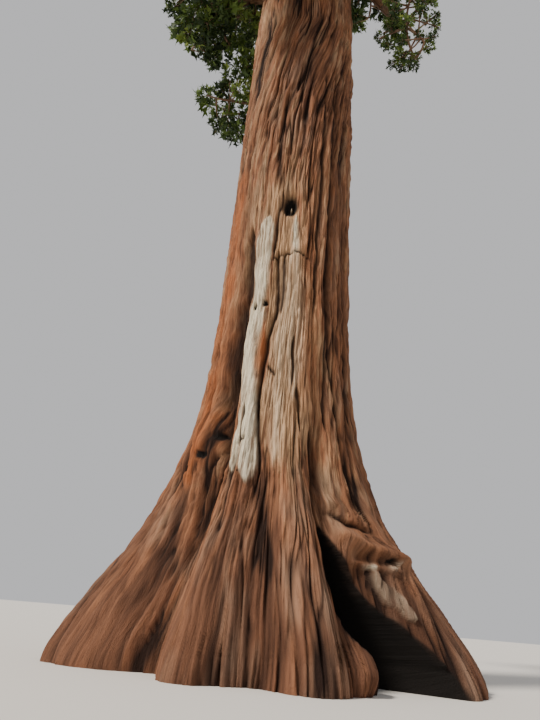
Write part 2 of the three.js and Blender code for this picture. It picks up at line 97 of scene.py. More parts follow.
def srgb(red: int, green: int, blue: int) -> tuple[float, float, float, float]:
    """A colour as a screen shows it, turned into the light it stands for.

    Args:
        red, green, blue: The colour's levels, 0 to 255.

    Returns:
        The linear colour with full alpha.
    """

    def linear(level: int) -> float:
        """One level as linear light.

        Args:
            level: 0 to 255.

        Returns:
            0 to 1.
        """
        share = level / SCREEN_LEVELS
        if share <= SCREEN_TOE:
            return share / SCREEN_TOE_SLOPE
        return ((share + SCREEN_OFFSET) / (1.0 + SCREEN_OFFSET)) ** SCREEN_POWER

    return (linear(red), linear(green), linear(blue), 1.0)


class SeededNumbers:
    """The source's own chain of seeded numbers, a 32-bit linear congruential generator."""

    FACTOR = 1664525
    STEP = 1013904223
    RANGE = 2**32

    def __init__(self, seed: int) -> None:
        """Starts the chain at a seed."""
        self.state = seed % self.RANGE

    def between(self, low: float, high: float) -> float:
        """The next number, between low and high."""
        self.state = (self.state * self.FACTOR + self.STEP) % self.RANGE
        return low + (high - low) * self.state / self.RANGE


def smooth_step(value: np.ndarray, low: float, high: float) -> np.ndarray:
    """Rises smoothly from 0 at low to 1 at high."""
    share = np.clip((value - low) / (high - low), 0.0, 1.0)
    return share * share * (3.0 - 2.0 * share)


def hump(distance: np.ndarray, width: float | np.ndarray) -> np.ndarray:
    """A bell of height 1, that is 0.6 high a width away."""
    return np.exp(-0.5 * (distance / width) ** 2)


def turn_between(bearing: np.ndarray, other: float | np.ndarray) -> np.ndarray:
    """The signed turn from one bearing to another, within half a turn."""
    half = FULL_TURN / 2.0
    return (bearing - other + FULL_TURN + half) % FULL_TURN - half


def outward(bearing: float) -> np.ndarray:
    """The level direction of a bearing."""
    angle = math.radians(bearing)
    return np.array((math.sin(angle), -math.cos(angle), 0.0))


def round_trunk(bearing: np.ndarray, radius: np.ndarray, height: np.ndarray) -> np.ndarray:
    """Places at these bearings, distances from the trunk's axis and heights, one to a row."""
    angle = np.radians(bearing)
    return np.stack((np.sin(angle) * radius, -np.cos(angle) * radius, height), axis=1)


def unit(vectors: np.ndarray) -> np.ndarray:
    """Vectors brought to length 1."""
    return vectors / np.maximum(np.linalg.norm(vectors, axis=-1, keepdims=True), NEXT_TO_NOTHING)


class Grain:
    """Smooth seeded noise in space, which gives bark its ridges, cracks and fibres."""

    PRIMES = np.array((374761393, 668265263, 2246822519), dtype=np.int64)
    MIXER = 1274126177
    SEED_STEP = 7919
    MASK = 2**32 - 1
    FIRST_SHIFT = 13
    LAST_SHIFT = 16
    SLOPE_BITS = 10
    STEEPEST = 2**SLOPE_BITS - 1
    EASE = (6.0, 15.0, 10.0)
    GAIN = 1.7

    @classmethod
    def at(cls, places: np.ndarray, seed: int) -> np.ndarray:
        """Noise of about -1 to 1 at each place.

        Args:
            places: An array of places, one to a row, in wavelengths.
            seed: Tells one noise from another.

        Returns:
            One number for each place.
        """
        cell = np.floor(places).astype(np.int64)
        inside = places - cell
        fifth, fourth, third = cls.EASE
        ease = inside**3 * (inside * (inside * fifth - fourth) + third)
        total = np.zeros(len(places))
        for corner in itertools.product((0, 1), repeat=3):
            step = np.array(corner)
            mixed = ((cell + step) @ cls.PRIMES + seed * cls.SEED_STEP) & cls.MASK
            mixed = ((mixed ^ (mixed >> cls.FIRST_SHIFT)) * cls.MIXER) & cls.MASK
            mixed ^= mixed >> cls.LAST_SHIFT
            parts = [(mixed >> (cls.SLOPE_BITS * axis)) & cls.STEEPEST for axis in range(3)]
            slopes = np.stack(parts, axis=1) / (cls.STEEPEST / 2.0) - 1.0
            weight = np.prod(np.where(step, ease, 1.0 - ease), axis=1)
            total += weight * np.sum(slopes * (inside - step), axis=1)
        return total * cls.GAIN


# Materials


@dataclass(frozen=True)
class NoiseSize:
    """A noise's wavelengths in the model's metres, its finer layers and how strong those are."""

    across: float
    up: float
    detail: float
    roughness: float = 0.55


class Socket:
    """A socket that gives a number, on which arithmetic adds Math nodes."""

    def __init__(self, graph: Graph, end: bpy.types.NodeSocket) -> None:
        """Wraps one output of a node."""
        self.graph = graph
        self.end = end

    def _math(self, operation: str, first: Socket | float, second: Socket | float) -> Socket:
        """Adds one Math node."""
        return self.graph.node("ShaderNodeMath", {"operation": operation}, {0: first, 1: second})

    def __add__(self, other: Socket | float) -> Socket:
        """self + other"""
        return self._math("ADD", self, other)

    __radd__ = __add__

    def __sub__(self, other: Socket | float) -> Socket:
        """self - other"""
        return self._math("SUBTRACT", self, other)

    def __rsub__(self, other: float) -> Socket:
        """other - self"""
        return self._math("SUBTRACT", other, self)

    def __mul__(self, other: Socket | float) -> Socket:
        """self * other"""
        return self._math("MULTIPLY", self, other)

    __rmul__ = __mul__

    def limited(self) -> Socket:
        """The number kept between 0 and 1."""
        return self._math("MINIMUM", self._math("MAXIMUM", self, 0.0), 1.0)


class Graph:
    """The nodes of one material."""

    BLEND_INPUTS = (0, 6, 7)
    BLEND_OUTPUT = 2

    def __init__(self, name: str) -> None:
        """Makes the material and finds its surface shader.

        Args:
            name: The material's name.
        """
        self.material = bpy.data.materials.new(name)
        self.material.use_nodes = True
        self.tree = self.material.node_tree
        self.shader = self.tree.nodes["Principled BSDF"]

    def node(
        self, kind: str, settings: dict | None = None, values: dict | None = None, output: int | str = 0
    ) -> Socket:
        """Adds a node.

        Args:
            kind: The node's type.
            settings: Its settings, which are made first. "stops" are a ramp's places and colours.
            values: Numbers, colours or sockets for its inputs, by name or number.
            output: The output that is wanted.

        Returns:
            That output.
        """
        made = self.tree.nodes.new(kind)
        for name, setting in (settings or {}).items():
            if name == "stops":
                self._set_stops(made.color_ramp, setting)
            else:
                setattr(made, name, setting)
        for key, value in (values or {}).items():
            self._give(made.inputs[key], value)
        return Socket(self, made.outputs[output])

    def _set_stops(self, ramp: bpy.types.ColorRamp, stops: list[tuple[float, tuple]]) -> None:
        """Gives a ramp its stops.

        Args:
            ramp: The ramp, which has two stops.
            stops: Their places and colours, two or more.
        """
        for element, (place, _) in zip(ramp.elements, (stops[0], stops[-1])):
            element.position = place
        for place, _ in stops[1:-1]:
            ramp.elements.new(place)
        for element, (_, colour) in zip(ramp.elements, stops):
            element.color = colour

    def _give(self, end: bpy.types.NodeSocket, value: Socket | float | tuple) -> None:
        """Links a socket or sets a value.

        Args:
            end: The input.
            value: What it gets.
        """
        if isinstance(value, Socket):
            self.tree.links.new(value.end, end)
        else:
            end.default_value = value

    def surface(self, values: dict[str, Socket | float | tuple]) -> None:
        """Gives the surface shader its values."""
        for key, value in values.items():
            self._give(self.shader.inputs[key], value)

    def blend(self, share: Socket | float, first: Socket | tuple, second: Socket | tuple) -> Socket:
        """Blends from one colour to another."""
        values = dict(zip(self.BLEND_INPUTS, (share, first, second)))
        return self.node("ShaderNodeMix", {"data_type": "RGBA"}, values, self.BLEND_OUTPUT)

    def attribute(self, name: str) -> Socket:
        """A number held on the piece's vertices."""
        return self.node("ShaderNodeAttribute", {"attribute_name": name}, None, "Fac")

    def noise(self, size: NoiseSize, places: Socket | None = None) -> Socket:
        """Noise in space.

        Args:
            size: Its wavelengths and how fine it is.
            places: Where it is read, which is the piece's own coordinates if none are given.

        Returns:
            A number round 0.5.
        """
        places = places or self.node("ShaderNodeTexCoord", output="Object")
        scale = (1 / size.across, 1 / size.across, 1 / size.up)
        scaled = self.node("ShaderNodeVectorMath", {"operation": "MULTIPLY"}, {0: places, 1: scale})
        values = {"Vector": scaled, "Scale": 1.0, "Detail": size.detail, "Roughness": size.roughness}
        return self.node("ShaderNodeTexNoise", None, values, "Fac")

    def bump(self, height: Socket, distance: float, strength: float) -> Socket:
        """A normal bent by a height."""
        values = {"Height": height, "Distance": distance, "Strength": strength}
        return self.node("ShaderNodeBump", None, values, "Normal")


GRAIN_NAME = "grain"


class Mask(Enum):
    """What the bark's vertices carry, besides their place."""

    # Painted shade in furrows, cracks, creases and low relief.
    CAVITY_SHADE = "cavity_shade"
    BLEACH = "bleach"
    # Rusty orange, and painted sunlight on a patch of the front.
    RUST_AND_SUNLIGHT = "rust_and_sunlight"
    # Charring, and painted shade inside the hollow and in holes.
    CHAR_AND_SHADE = "char_and_shade"
    # Tone, partly painted light: warmer on the lit front and left, darker on the shaded root flare.
    WARMTH_AND_LIGHT = "warmth_and_light"


@dataclass(frozen=True)
class Threshold:
    """Where a noise shows: past which level, how sharply, and how strongly at most."""

    level: float
    sharpness: float
    strength: float = 1.0

    def above(self, noise: Socket) -> Socket:
        """How strongly it shows where the noise is above the level."""
        return ((noise - self.level) * self.sharpness).limited() * self.strength

    def below(self, noise: Socket) -> Socket:
        """How strongly it shows where the noise is below the level."""
        return ((self.level - noise) * self.sharpness).limited() * self.strength


@dataclass(frozen=True)
class BarkFinish:
    """Fibrous bark: cinnamon to tan, bleached, rusty and charred in places, with painted shade in its
    cracks, holes and hollow and painted sunlight on its front and left.
    """

    name: str
    dark: tuple = srgb(72, 46, 34)
    brown: tuple = srgb(124, 84, 62)
    cinnamon: tuple = srgb(164, 112, 80)
    tan: tuple = srgb(208, 166, 126)
    grey: tuple = srgb(136, 115, 98)
    bleached: tuple = srgb(240, 227, 200)
    # Rusty orange, also laid as painted sunlight.
    rust_and_sunlight: tuple = srgb(178, 106, 64)
    # Charring, also used as the painted shade inside the hollow and in holes.
    charred: tuple = srgb(19, 15, 13)
    # Near-black painted shade in furrows, cracks and creases.
    crack_shade: tuple = srgb(38, 22, 15)
    roughness: float = 0.92
    gloss: float = 0.25
    broad: NoiseSize = NoiseSize(1.1, 4.5, 2.0)
    patches: NoiseSize = NoiseSize(0.24, 1.1, 3.0)
    strands: NoiseSize = NoiseSize(0.08, 1.2, 3.0, 0.6)
    streaks: NoiseSize = NoiseSize(0.035, 0.7, 5.0, 0.66)
    fibres: NoiseSize = NoiseSize(0.013, 0.3, 4.0, 0.7)
    specks: NoiseSize = NoiseSize(0.012, 0.035, 3.0)
    tone_shares: tuple[float, ...] = (0.7, 0.9, 1.3, 0.5)
    tone_start: float = 1.04
    tone_stops: tuple[float, ...] = (0.15, 0.46, 0.8)
    weathering: Threshold = Threshold(0.48, 3.6, 0.7)
    rust_share: float = 2.6
    rust_start: float = 0.45
    bleach_shares: tuple[float, float] = (3.4, 2.0)
    bleach_start: float = 1.75
    lines: Threshold = Threshold(0.5, 4.6, 0.6)
    hairs: Threshold = Threshold(0.47, 7.0, 0.42)
    gaps: Threshold = Threshold(0.46, 6.0, 0.55)
    gaps_closed: float = 0.455
    dots: Threshold = Threshold(0.36, 9.0, 0.5)
    least_cavity: float = 0.7
    cavity_share: float = 0.6
    relief_shares: tuple[float, ...] = (0.6, 0.45, 0.2, 0.25)
    relief_depth: float = 0.06

    def material(self) -> bpy.types.Material:
        """Builds the material.

        Returns:
            The material.
        """
        g = Graph(self.name)
        grain = g.node("ShaderNodeAttribute", {"attribute_name": GRAIN_NAME}, None, "Vector")
        broad = g.noise(self.broad, grain)
        patches = g.noise(self.patches, grain)
        strands = g.noise(self.strands, grain)
        streaks = g.noise(self.streaks, grain)
        fibres = g.noise(self.fibres, grain)
        specks = g.noise(self.specks)
        carried = (Mask.WARMTH_AND_LIGHT, Mask.RUST_AND_SUNLIGHT, Mask.BLEACH, Mask.CAVITY_SHADE, Mask.CHAR_AND_SHADE)
        warmth_and_light, rust_and_sunlight, bleach, cavity_shade, char_and_shade = [g.attribute(mask.value) for mask in carried]

        # Warm tone is partly painted light, and grey weathering shows where it is low.
        tones = zip((broad, patches, strands, warmth_and_light), self.tone_shares)
        tone = sum((part * share for part, share in tones), -self.tone_start)
        stops = list(zip(self.tone_stops, (self.brown, self.cinnamon, self.tan)))
        base = g.node("ShaderNodeValToRGB", {"stops": stops}, {"Fac": tone.limited()})
        base = g.blend(self.weathering.above(patches) * (1.0 - warmth_and_light), base, self.grey)
        # Rusty orange, which also paints sunlight on a patch of the front.
        rusty = (rust_and_sunlight * (strands * self.rust_share - self.rust_start)).limited()
        base = g.blend(rusty, base, self.rust_and_sunlight)
        streaky, strandy = self.bleach_shares
        pale = (bleach * (streaks * streaky + strands * strandy - self.bleach_start)).limited()
        base = g.blend(pale, base, self.bleached)

        # Dark lines, hairs and dots lie where the bump below is lowest: partly the bark's dark fibres,
        # partly painted shade in the fine grooves.
        base = g.blend(self.lines.below(streaks), base, self.dark)
        base = g.blend(self.hairs.below(fibres), base, self.dark)
        base = g.blend(self.gaps.below(strands) * (1.0 - warmth_and_light * self.gaps_closed), base, self.dark)
        base = g.blend(self.dots.below(specks), base, self.dark)
        # Painted shade in the furrows, cracks and creases.
        hollow = (cavity_shade * (self.least_cavity + streaks * self.cavity_share)).limited()
        base = g.blend(hollow, base, self.crack_shade)
        # Charring, and painted shade inside the hollow and in holes.
        base = g.blend(char_and_shade.limited(), base, self.charred)

        heights = zip((streaks, fibres, patches, specks), self.relief_shares)
        relief = sum(part * share for part, share in heights)
        values = {
            "Base Color": base,
            "Roughness": self.roughness,
            "Specular IOR Level": self.gloss,
            "Normal": g.bump(relief, self.relief_depth, 1.0),
        }
        g.surface(values)
        return g.material


class BarkKind(Enum):
    """The two barks: the trunk's, and the darker one of the boughs."""

    TRUNK = BarkFinish("trunk_bark")
    BOUGH = BarkFinish("bough_bark", brown=srgb(98, 70, 54), cinnamon=srgb(132, 96, 72))


@dataclass(frozen=True)
class TwigFinish:
    """Thin brown bark on twigs and branches."""

    name: str
    brown: tuple = srgb(96, 66, 46)
    grey: tuple = srgb(134, 112, 92)
    roughness: float = 0.9
    patches: NoiseSize = NoiseSize(0.12, 0.3, 3.0)
    flakes: NoiseSize = NoiseSize(0.015, 0.03, 3.0)
    greying: Threshold = Threshold(0.35, 2.6)
    relief_depth: float = 0.006
    relief_strength: float = 0.5

    def material(self) -> bpy.types.Material:
        """Builds the material.

        Returns:
            The material.
        """
        g = Graph(self.name)
        values = {
            "Base Color": g.blend(self.greying.above(g.noise(self.patches)), self.brown, self.grey),
            "Roughness": self.roughness,
            "Normal": g.bump(g.noise(self.flakes), self.relief_depth, self.relief_strength),
        }
        g.surface(values)
        return g.material


@dataclass(frozen=True)
class LeafFinish:
    """One plain green of the scale-leaved sprays, a little uneven along them."""

    name: str
    green: tuple
    roughness: float = 0.62
    gloss: float = 0.3
    depth_share: float = 0.55
    flecks: NoiseSize = NoiseSize(0.03, 0.03, 2.0)
    unevenness: Threshold = Threshold(0.45, 3.0, 0.3)
    relief_depth: float = 0.01
    relief_strength: float = 0.4

    def material(self) -> bpy.types.Material:
        """Builds the material.

        Returns:
            The material.
        """
        g = Graph(self.name)
        deeper = tuple(self.depth_share * level for level in self.green[:3]) + (1.0,)
        flecks = g.noise(self.flecks)
        values = {
            "Base Color": g.blend(self.unevenness.above(flecks), self.green, deeper),
            "Roughness": self.roughness,
            "Specular IOR Level": self.gloss,
            "Normal": g.bump(flecks, self.relief_depth, self.relief_strength),
        }
        g.surface(values)
        return g.material


class Green(Enum):
    """The greens that sprays are dealt by painted light and shade, from the deepest painted shade to
    the most lit, with some random tone.
    """

    DEEP = LeafFinish("spray_deep", srgb(34, 52, 22))
    SHADED = LeafFinish("spray_shaded", srgb(56, 76, 32))
    MIDDLE = LeafFinish("spray_middle", srgb(86, 108, 44))
    LIT = LeafFinish("spray_lit", srgb(122, 142, 62))
    MOST_LIT = LeafFinish("spray_most_lit", srgb(158, 172, 86))


# Working a mesh by hand

UPRIGHT_WITHIN = 1e-6


def add_cage(name: str, sides: int, rings: tuple[int, int]) -> bpy.types.Object:
    """Adds a closed upright cylinder of radius and height 1, cut into rings.

    Args:
        name: The piece's name.
        sides: How many columns it has.
        rings: Two numbers whose product is how many rings it has.

    Returns:
        The piece.
    """
    bpy.ops.object.select_all(action="DESELECT")
    bpy.ops.mesh.primitive_cylinder_add(vertices=sides, radius=1.0, depth=1.0, end_fill_type="TRIFAN")
    cage = bpy.context.active_object
    cage.name = name
    cage.data.name = name
    for count in rings:
        select_upright_edges(cage)
        bpy.ops.object.mode_set(mode="EDIT")
        bpy.ops.mesh.subdivide(number_cuts=count - 1)
        bpy.ops.object.mode_set(mode="OBJECT")
    return cage


def places_of(piece: bpy.types.Object) -> np.ndarray:
    """Reads the places of a piece's vertices.

    Args:
        piece: The piece.

    Returns:
        One place to a row.
    """
    flat = np.empty(len(piece.data.vertices) * 3, dtype=np.float32)
    piece.data.vertices.foreach_get("co", flat)
    return flat.reshape(-1, 3).astype(float)


def cage_places(cage: bpy.types.Object) -> tuple[np.ndarray, np.ndarray, np.ndarray]:
    """Where the vertices of an unshaped cage stand.

    Args:
        cage: The cage.

    Returns:
        Their level places, how far up they are from 0 to 1, and which of them are on the axis.
    """
    places = places_of(cage)
    level = places[:, :2]
    return level, np.clip(places[:, 2] + 0.5, 0.0, 1.0), np.hypot(*level.T) < 0.5


def select_upright_edges(cage: bpy.types.Object) -> None:
    """Selects the edges of a cylinder that run straight up, and nothing else.

    Args:
        cage: The cylinder.
    """
    mesh = cage.data
    bpy.context.tool_settings.mesh_select_mode = (False, True, False)
    places = places_of(cage)
    ends = np.empty(len(mesh.edges) * 2, dtype=np.int32)
    mesh.edges.foreach_get("vertices", ends)
    ends = ends.reshape(-1, 2)
    off = places[ends[:, 0]] - places[ends[:, 1]]
    upright = np.hypot(off[:, 0], off[:, 1]) < UPRIGHT_WITHIN
    chosen = np.zeros(len(mesh.vertices), dtype=bool)
    chosen[ends[upright].ravel()] = True
    mesh.polygons.foreach_set("select", np.zeros(len(mesh.polygons), dtype=bool))
    mesh.vertices.foreach_set("select", chosen)
    mesh.edges.foreach_set("select", upright)


def move_vertices(piece: bpy.types.Object, places: np.ndarray) -> None:
    """Puts every vertex in its new place."""
    piece.data.vertices.foreach_set("co", places.astype(np.float32).ravel())
    piece.data.update()


def set_mask(piece: bpy.types.Object, mask: Mask, values: np.ndarray) -> None:
    """Writes a number on each vertex."""
    held = piece.data.attributes.new(mask.value, "FLOAT", "POINT")
    held.data.foreach_set("value", values.astype(np.float32))


def set_grain(piece: bpy.types.Object, places: np.ndarray) -> None:
    """Writes on each vertex its place in the grain, given in living metres."""
    held = piece.data.attributes.new(GRAIN_NAME, "FLOAT_VECTOR", "POINT")
    held.data.foreach_set("vector", (places * LIVING_METRE).astype(np.float32).ravel())


def join_pieces(name: str, pieces: list[bpy.types.Object]) -> bpy.types.Object:
    """Joins pieces into one.

    Args:
        name: The new piece's name.
        pieces: The pieces, which it replaces.

    Returns:
        The new piece.
    """
    bpy.ops.object.select_all(action="DESELECT")
    for piece in pieces:
        piece.select_set(True)
    bpy.context.view_layer.objects.active = pieces[0]
    bpy.ops.object.join()
    joined = bpy.context.active_object
    joined.name = name
    joined.data.name = name
    return joined


def hand_over(piece: bpy.types.Object, nodes: list[str]) -> None:
    """Says what a finished piece rides on and which nodes it stands for, and hides those nodes.

    Args:
        piece: The piece.
        nodes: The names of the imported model's nodes.
    """
    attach(piece, BODY)
    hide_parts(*nodes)
    piece.data.calc_loop_triangles()
    LOG.info("%s: %d triangles for %s", piece.name, len(piece.data.loop_triangles), ", ".join(nodes))


class GrownMesh:
    """Many small closed shapes gathered into one mesh."""

    def __init__(self) -> None:
        """Starts empty."""
        self.places: list[np.ndarray] = []
        self.faces: list[np.ndarray] = []
        self.tones: list[np.ndarray] = []
        self.count = 0

    def add(self, places: np.ndarray, faces: np.ndarray, tones: np.ndarray | int = 0) -> None:
        """Adds shapes.

        Args:
            places: Their corners in living metres, one to a row.
            faces: Their triangles, as three corner numbers to a row.
            tones: The number of each triangle's finish.
        """
        self.places.append(places)
        self.faces.append(faces + self.count)
        self.tones.append(np.broadcast_to(tones, len(faces)))
        self.count += len(places)

    def build(self, name: str, finishes: list[bpy.types.Material]) -> bpy.types.Object:
        """Makes the mesh and its piece.

        Args:
            name: The piece's name.
            finishes: Its materials, by number.

        Returns:
            The piece.
        """
        places = np.concatenate(self.places) * LIVING_METRE
        faces = np.concatenate(self.faces)
        mesh = bpy.data.meshes.new(name)
        mesh.vertices.add(len(places))
        mesh.loops.add(faces.size)
        mesh.polygons.add(len(faces))
        mesh.vertices.foreach_set("co", places.astype(np.float32).ravel())
        mesh.loops.foreach_set("vertex_index", faces.astype(np.int32).ravel())
        mesh.polygons.foreach_set("loop_start", np.arange(0, faces.size, 3, dtype=np.int32))
        mesh.polygons.foreach_set("material_index", np.concatenate(self.tones).astype(np.int32))
        mesh.update(calc_edges=True)
        for finish in finishes:
            mesh.materials.append(finish)
        piece = bpy.data.objects.new(name, mesh)
        bpy.context.scene.collection.objects.link(piece)
        return piece


# Trunk


@dataclass(frozen=True)
class Buttress:
    """A root buttress: where it stands, how it swings on its way down, its reach and half width."""

    bearing: float
    swing: float
    reach: float
    width: float


@dataclass(frozen=True)
class Groove:
    """A long groove that fades out at its top."""

    bearing: float
    depth: float
    width: float
    top: float


@dataclass(frozen=True)
class Swelling:
    """A rounded swelling: its middle, how far it stands out, its half width and half height."""

    bearing: float
    height: float
    out: float
    width: float
    rise: float


@dataclass(frozen=True)
class TrunkShape:
    """The trunk's smooth form, by the source's own sizes."""

    flare_height: float = 4.3
    flare_power: float = 1.5
    flare_reach: float = 1.75
    groove_full_share: float = 0.35
    buttresses: tuple[Buttress, ...] = (
        Buttress(82, 0, 2.35, 17),
        Buttress(56, 4, 0.9, 8),
        Buttress(12, 8, 1.3, 10),
        Buttress(-20, -2, 0.9, 9),
        Buttress(-74, 0, 2.1, 18),
        Buttress(-118, -4, 1.6, 14),
        Buttress(-158, 3, 1.9, 13),
        Buttress(163, -3, 1.2, 11),
        Buttress(126, 3, 1.7, 13),
    )
    grooves: tuple[Groove, ...] = (
        Groove(-40, 0.62, 7, 19),
        Groove(27, 0.42, 5, 12),
        Groove(-97, 0.45, 7, 16),
        Groove(-138, 0.4, 7, 14),
        Groove(183, 0.45, 7, 17),
        Groove(144, 0.38, 6, 13),
        Groove(105, 0.42, 6, 15),
    )
    swellings: tuple[Swelling, ...] = (
        Swelling(48, 3.55, 0.34, 9, 0.42),
        Swelling(36, 4.1, 0.16, 5, 0.5),
        Swelling(56, 2.7, 0.26, 6, 0.7),
        Swelling(33, 0.55, 0.55, 4.5, 0.45),
        Swelling(-52, 6.2, 0.3, 8, 0.8),
        Swelling(-1, 16.2, 0.1, 7, 0.6),
        Swelling(92, 22.7, 0.16, 8, 0.5),
        Swelling(92, 26.3, 0.14, 8, 0.5),
    )

    def shaft(self, height: np.ndarray) -> np.ndarray:
        """The plain shaft's radius at each height."""
        share = np.clip((height - TAPER_START) / (TRUNK_TOP - TAPER_START), 0.0, 1.0)
        return SHAFT_RADIUS + (TRUNK_TOP_RADIUS - SHAFT_RADIUS) * share**TAPER_POWER

    def flare(self, height: np.ndarray) -> np.ndarray:
        """How much of the root flare there is at each height."""
        return np.exp(-((np.maximum(height, 0.0) / self.flare_height) ** self.flare_power))

    def radius(self, bearing: np.ndarray, height: np.ndarray) -> np.ndarray:
        """The trunk's smooth surface.

        Args:
            bearing, height: Where to read it.

        Returns:
            Its distance from the trunk's axis.
        """
        flare = self.flare(height)
        radius = self.shaft(height) + self.flare_reach * flare
        for b in self.buttresses:
            middle = b.bearing + b.swing * flare
            radius = radius + b.reach * flare * hump(turn_between(bearing, middle), b.width)
        for g in self.grooves:
            fade = 1.0 - smooth_step(height, g.top * self.groove_full_share, g.top)
            radius = radius - g.depth * fade * hump(turn_between(bearing, g.bearing), g.width)
        for s in self.swellings:
            near = hump(turn_between(bearing, s.bearing), s.width) * hump(height - s.height, s.rise)
            radius = radius + s.out * near
        return radius


@dataclass(frozen=True)
class FireScar:
    """The hollow in the right front: at each height its two sides' bearings and its back's radius."""

    heights: tuple[float, ...] = (-0.5, 0.6, 1.1, 1.7, 2.3, 3.0, 3.6, 4.05)
    lefts: tuple[float, ...] = (38, 37, 29, 25, 24, 23.5, 24, 25.5)
    rights: tuple[float, ...] = (63, 61, 58, 53, 46, 40, 33, 27.5)
    backs: tuple[float, ...] = (2.2, 2.2, 2.2, 2.2, 2.25, 2.4, 2.6, 2.9)
    narrowing: float = 0.7
    cut_radius: float = 9.0
    roof_slope: float = 60.0
    roof_fade: float = 0.05
    soot_width: float = 0.11
    soot_inside: float = 0.02
    soot_fade: float = 0.15

    def sides(self, height: np.ndarray) -> tuple[np.ndarray, np.ndarray]:
        """The bearings of the left and the right side."""
        return np.interp(height, self.heights, self.lefts), np.interp(height, self.heights, self.rights)

    def back(self, height: np.ndarray) -> np.ndarray:
        """The back wall's radius."""
        return np.interp(height, self.heights, self.backs)

    def slope(self, height: np.ndarray) -> np.ndarray:
        """How much the wall's radius grows over one half width, past the narrowing."""
        return (self.cut_radius - self.back(height)) / (1.0 - self.narrowing)

    def off_middle(self, bearing: np.ndarray, height: np.ndarray) -> tuple[np.ndarray, np.ndarray]:
        """How far places are from the hollow's middle.

        Args:
            bearing, height: Where they are.

        Returns:
            How many half widths they are off it, and how many degrees a half width is there.
        """
        left, right = self.sides(height)
        half = (right - left) / 2.0
        return np.abs(turn_between(bearing, (left + right) / 2.0)) / half, half

    def wall(self, bearing: np.ndarray, height: np.ndarray, sway: np.ndarray) -> np.ndarray:
        """The radius of the hollow's wall, which is far outside the bark where there is no hollow.

        Args:
            bearing, height: Where to read it.
            sway: How many degrees the rim wanders there.

        Returns:
            The wall's radius.
        """
        off, _ = self.off_middle(bearing + sway, height)
        roof = self.roof_slope * np.maximum(height - self.heights[-1] + self.roof_fade, 0.0)
        return self.back(height) + np.maximum(off - self.narrowing, 0.0) * self.slope(height) + roof

    def soot(
        self, bearing: np.ndarray, height: np.ndarray, sway: np.ndarray, bark: np.ndarray
    ) -> np.ndarray:
        """How charred the bark is beside the hollow's rim.

        Args:
            bearing, height: Where to read it.
            sway: How many degrees the rim wanders there.
            bark: The bark's radius there.

        Returns:
            0 for clean bark, 1 from the rim inward.
        """
        off, half = self.off_middle(bearing + sway, height)
        rim = self.narrowing + (bark - self.back(height)) / self.slope(height)
        inward = np.radians((rim - off) * half) * bark
        top = self.heights[-1]
        below = 1.0 - smooth_step(height, top - self.soot_fade, top + self.soot_fade)
        return smooth_step(inward, -self.soot_width, self.soot_inside) * below


@dataclass(frozen=True)
class Trail:
    """A streak that runs up the bark, by its bearing at each of a few heights."""

    heights: tuple[float, ...]
    bearings: tuple[float, ...]
    half_width: float
    out: float
    fade: float = 0.5
    squareness: float = 2.0

    POINT_SHARE = 0.15
    POINT_FADE = 0.3

    def strength(self, places: Places, edge: np.ndarray) -> np.ndarray:
        """How strongly the streak shows.

        Args:
            places: Where to read it.
            edge: How many metres its edge wanders sideways there.

        Returns:
            0 to 1 for each place.
        """
        bearing, radius, height = places
        middle = np.interp(height, self.heights, self.bearings)
        off = np.radians(turn_between(bearing, middle)) * radius + edge
        low, high = self.heights[0], self.heights[-1]
        ends = smooth_step(height, low - self.fade, low + self.fade)
        ends = ends * (1.0 - smooth_step(height, high - self.fade, high + self.fade))
        width = self.half_width * (self.POINT_SHARE + (1.0 - self.POINT_SHARE) * ends)
        band = np.exp(-0.5 * np.abs(off / width) ** self.squareness)
        return band * smooth_step(ends, 0.0, self.POINT_FADE)


@dataclass(frozen=True)
class Ledge:
    """A crease that runs across the bark, by its height at each of a few bearings."""

    bearings: tuple[float, ...]
    heights: tuple[float, ...]
    half_height: float
    out: float
    fade: float = 2.5

    def strength(self, places: Places, edge: np.ndarray) -> np.ndarray:
        """How strongly the crease shows.

        Args:
            places: Where to read it.
            edge: How many metres it wanders up or down there.

        Returns:
            0 to 1 for each place.
        """
        bearing, _, height = places
        turn = turn_between(bearing, 0.0)
        middle = np.interp(turn, self.bearings, self.heights)
        first, last = self.bearings[0], self.bearings[-1]
        ends = smooth_step(turn, first - self.fade, first + self.fade)
        ends = ends * (1.0 - smooth_step(turn, last - self.fade, last + self.fade))
        return hump(height - middle + edge, self.half_height) * ends


@dataclass(frozen=True)
class Pit:
    """A knot hole or a small hole: its middle, half width and half height, and how far it goes in. Its
    inside is painted black as shade.
    """

    bearing: float
    height: float
    half_width: float
    half_height: float
    depth: float

    STEEPNESS = 1.5

    def strength(self, places: Places) -> np.ndarray:
        """How strongly the pit shows.

        Args:
            places: Where to read it.

        Returns:
            0 to 1 for each place.
        """
        bearing, radius, height = places
        across = np.radians(turn_between(bearing, self.bearing)) * radius / self.half_width
        up = (height - self.height) / self.half_height
        return np.exp(-((across**2 + up**2) ** self.STEEPNESS))


@dataclass(frozen=True)
class Zone:
    """A broad soft patch: its middle, half width, strength, and where it fades in and out going up."""

    bearing: float
    half_width: float
    most: float
    fade_in: tuple[float, float]
    fade_out: tuple[float, float] | None = None

    def strength(self, bearing: np.ndarray, height: np.ndarray) -> np.ndarray:
        """How strongly the patch shows.

        Args:
            bearing, height: Where to read it.

        Returns:
            0 up to its strength for each place.
        """
        near = self.most * hump(turn_between(bearing, self.bearing), self.half_width)
        near = near * smooth_step(height, *self.fade_in)
        return near * (1.0 - smooth_step(height, *self.fade_out)) if self.fade_out else near


@dataclass(frozen=True)
class Ripple:
    """One layer of the bark's noise: its wavelengths across and along the grain, and its seed."""

    across: float
    along: float
    seed: int

    def at(self, places: Places) -> np.ndarray:
        """The noise at each place, about -1 to 1."""
        bearing, radius, height = places
        return Grain.at(round_trunk(bearing, radius / self.across, height / self.along), self.seed)


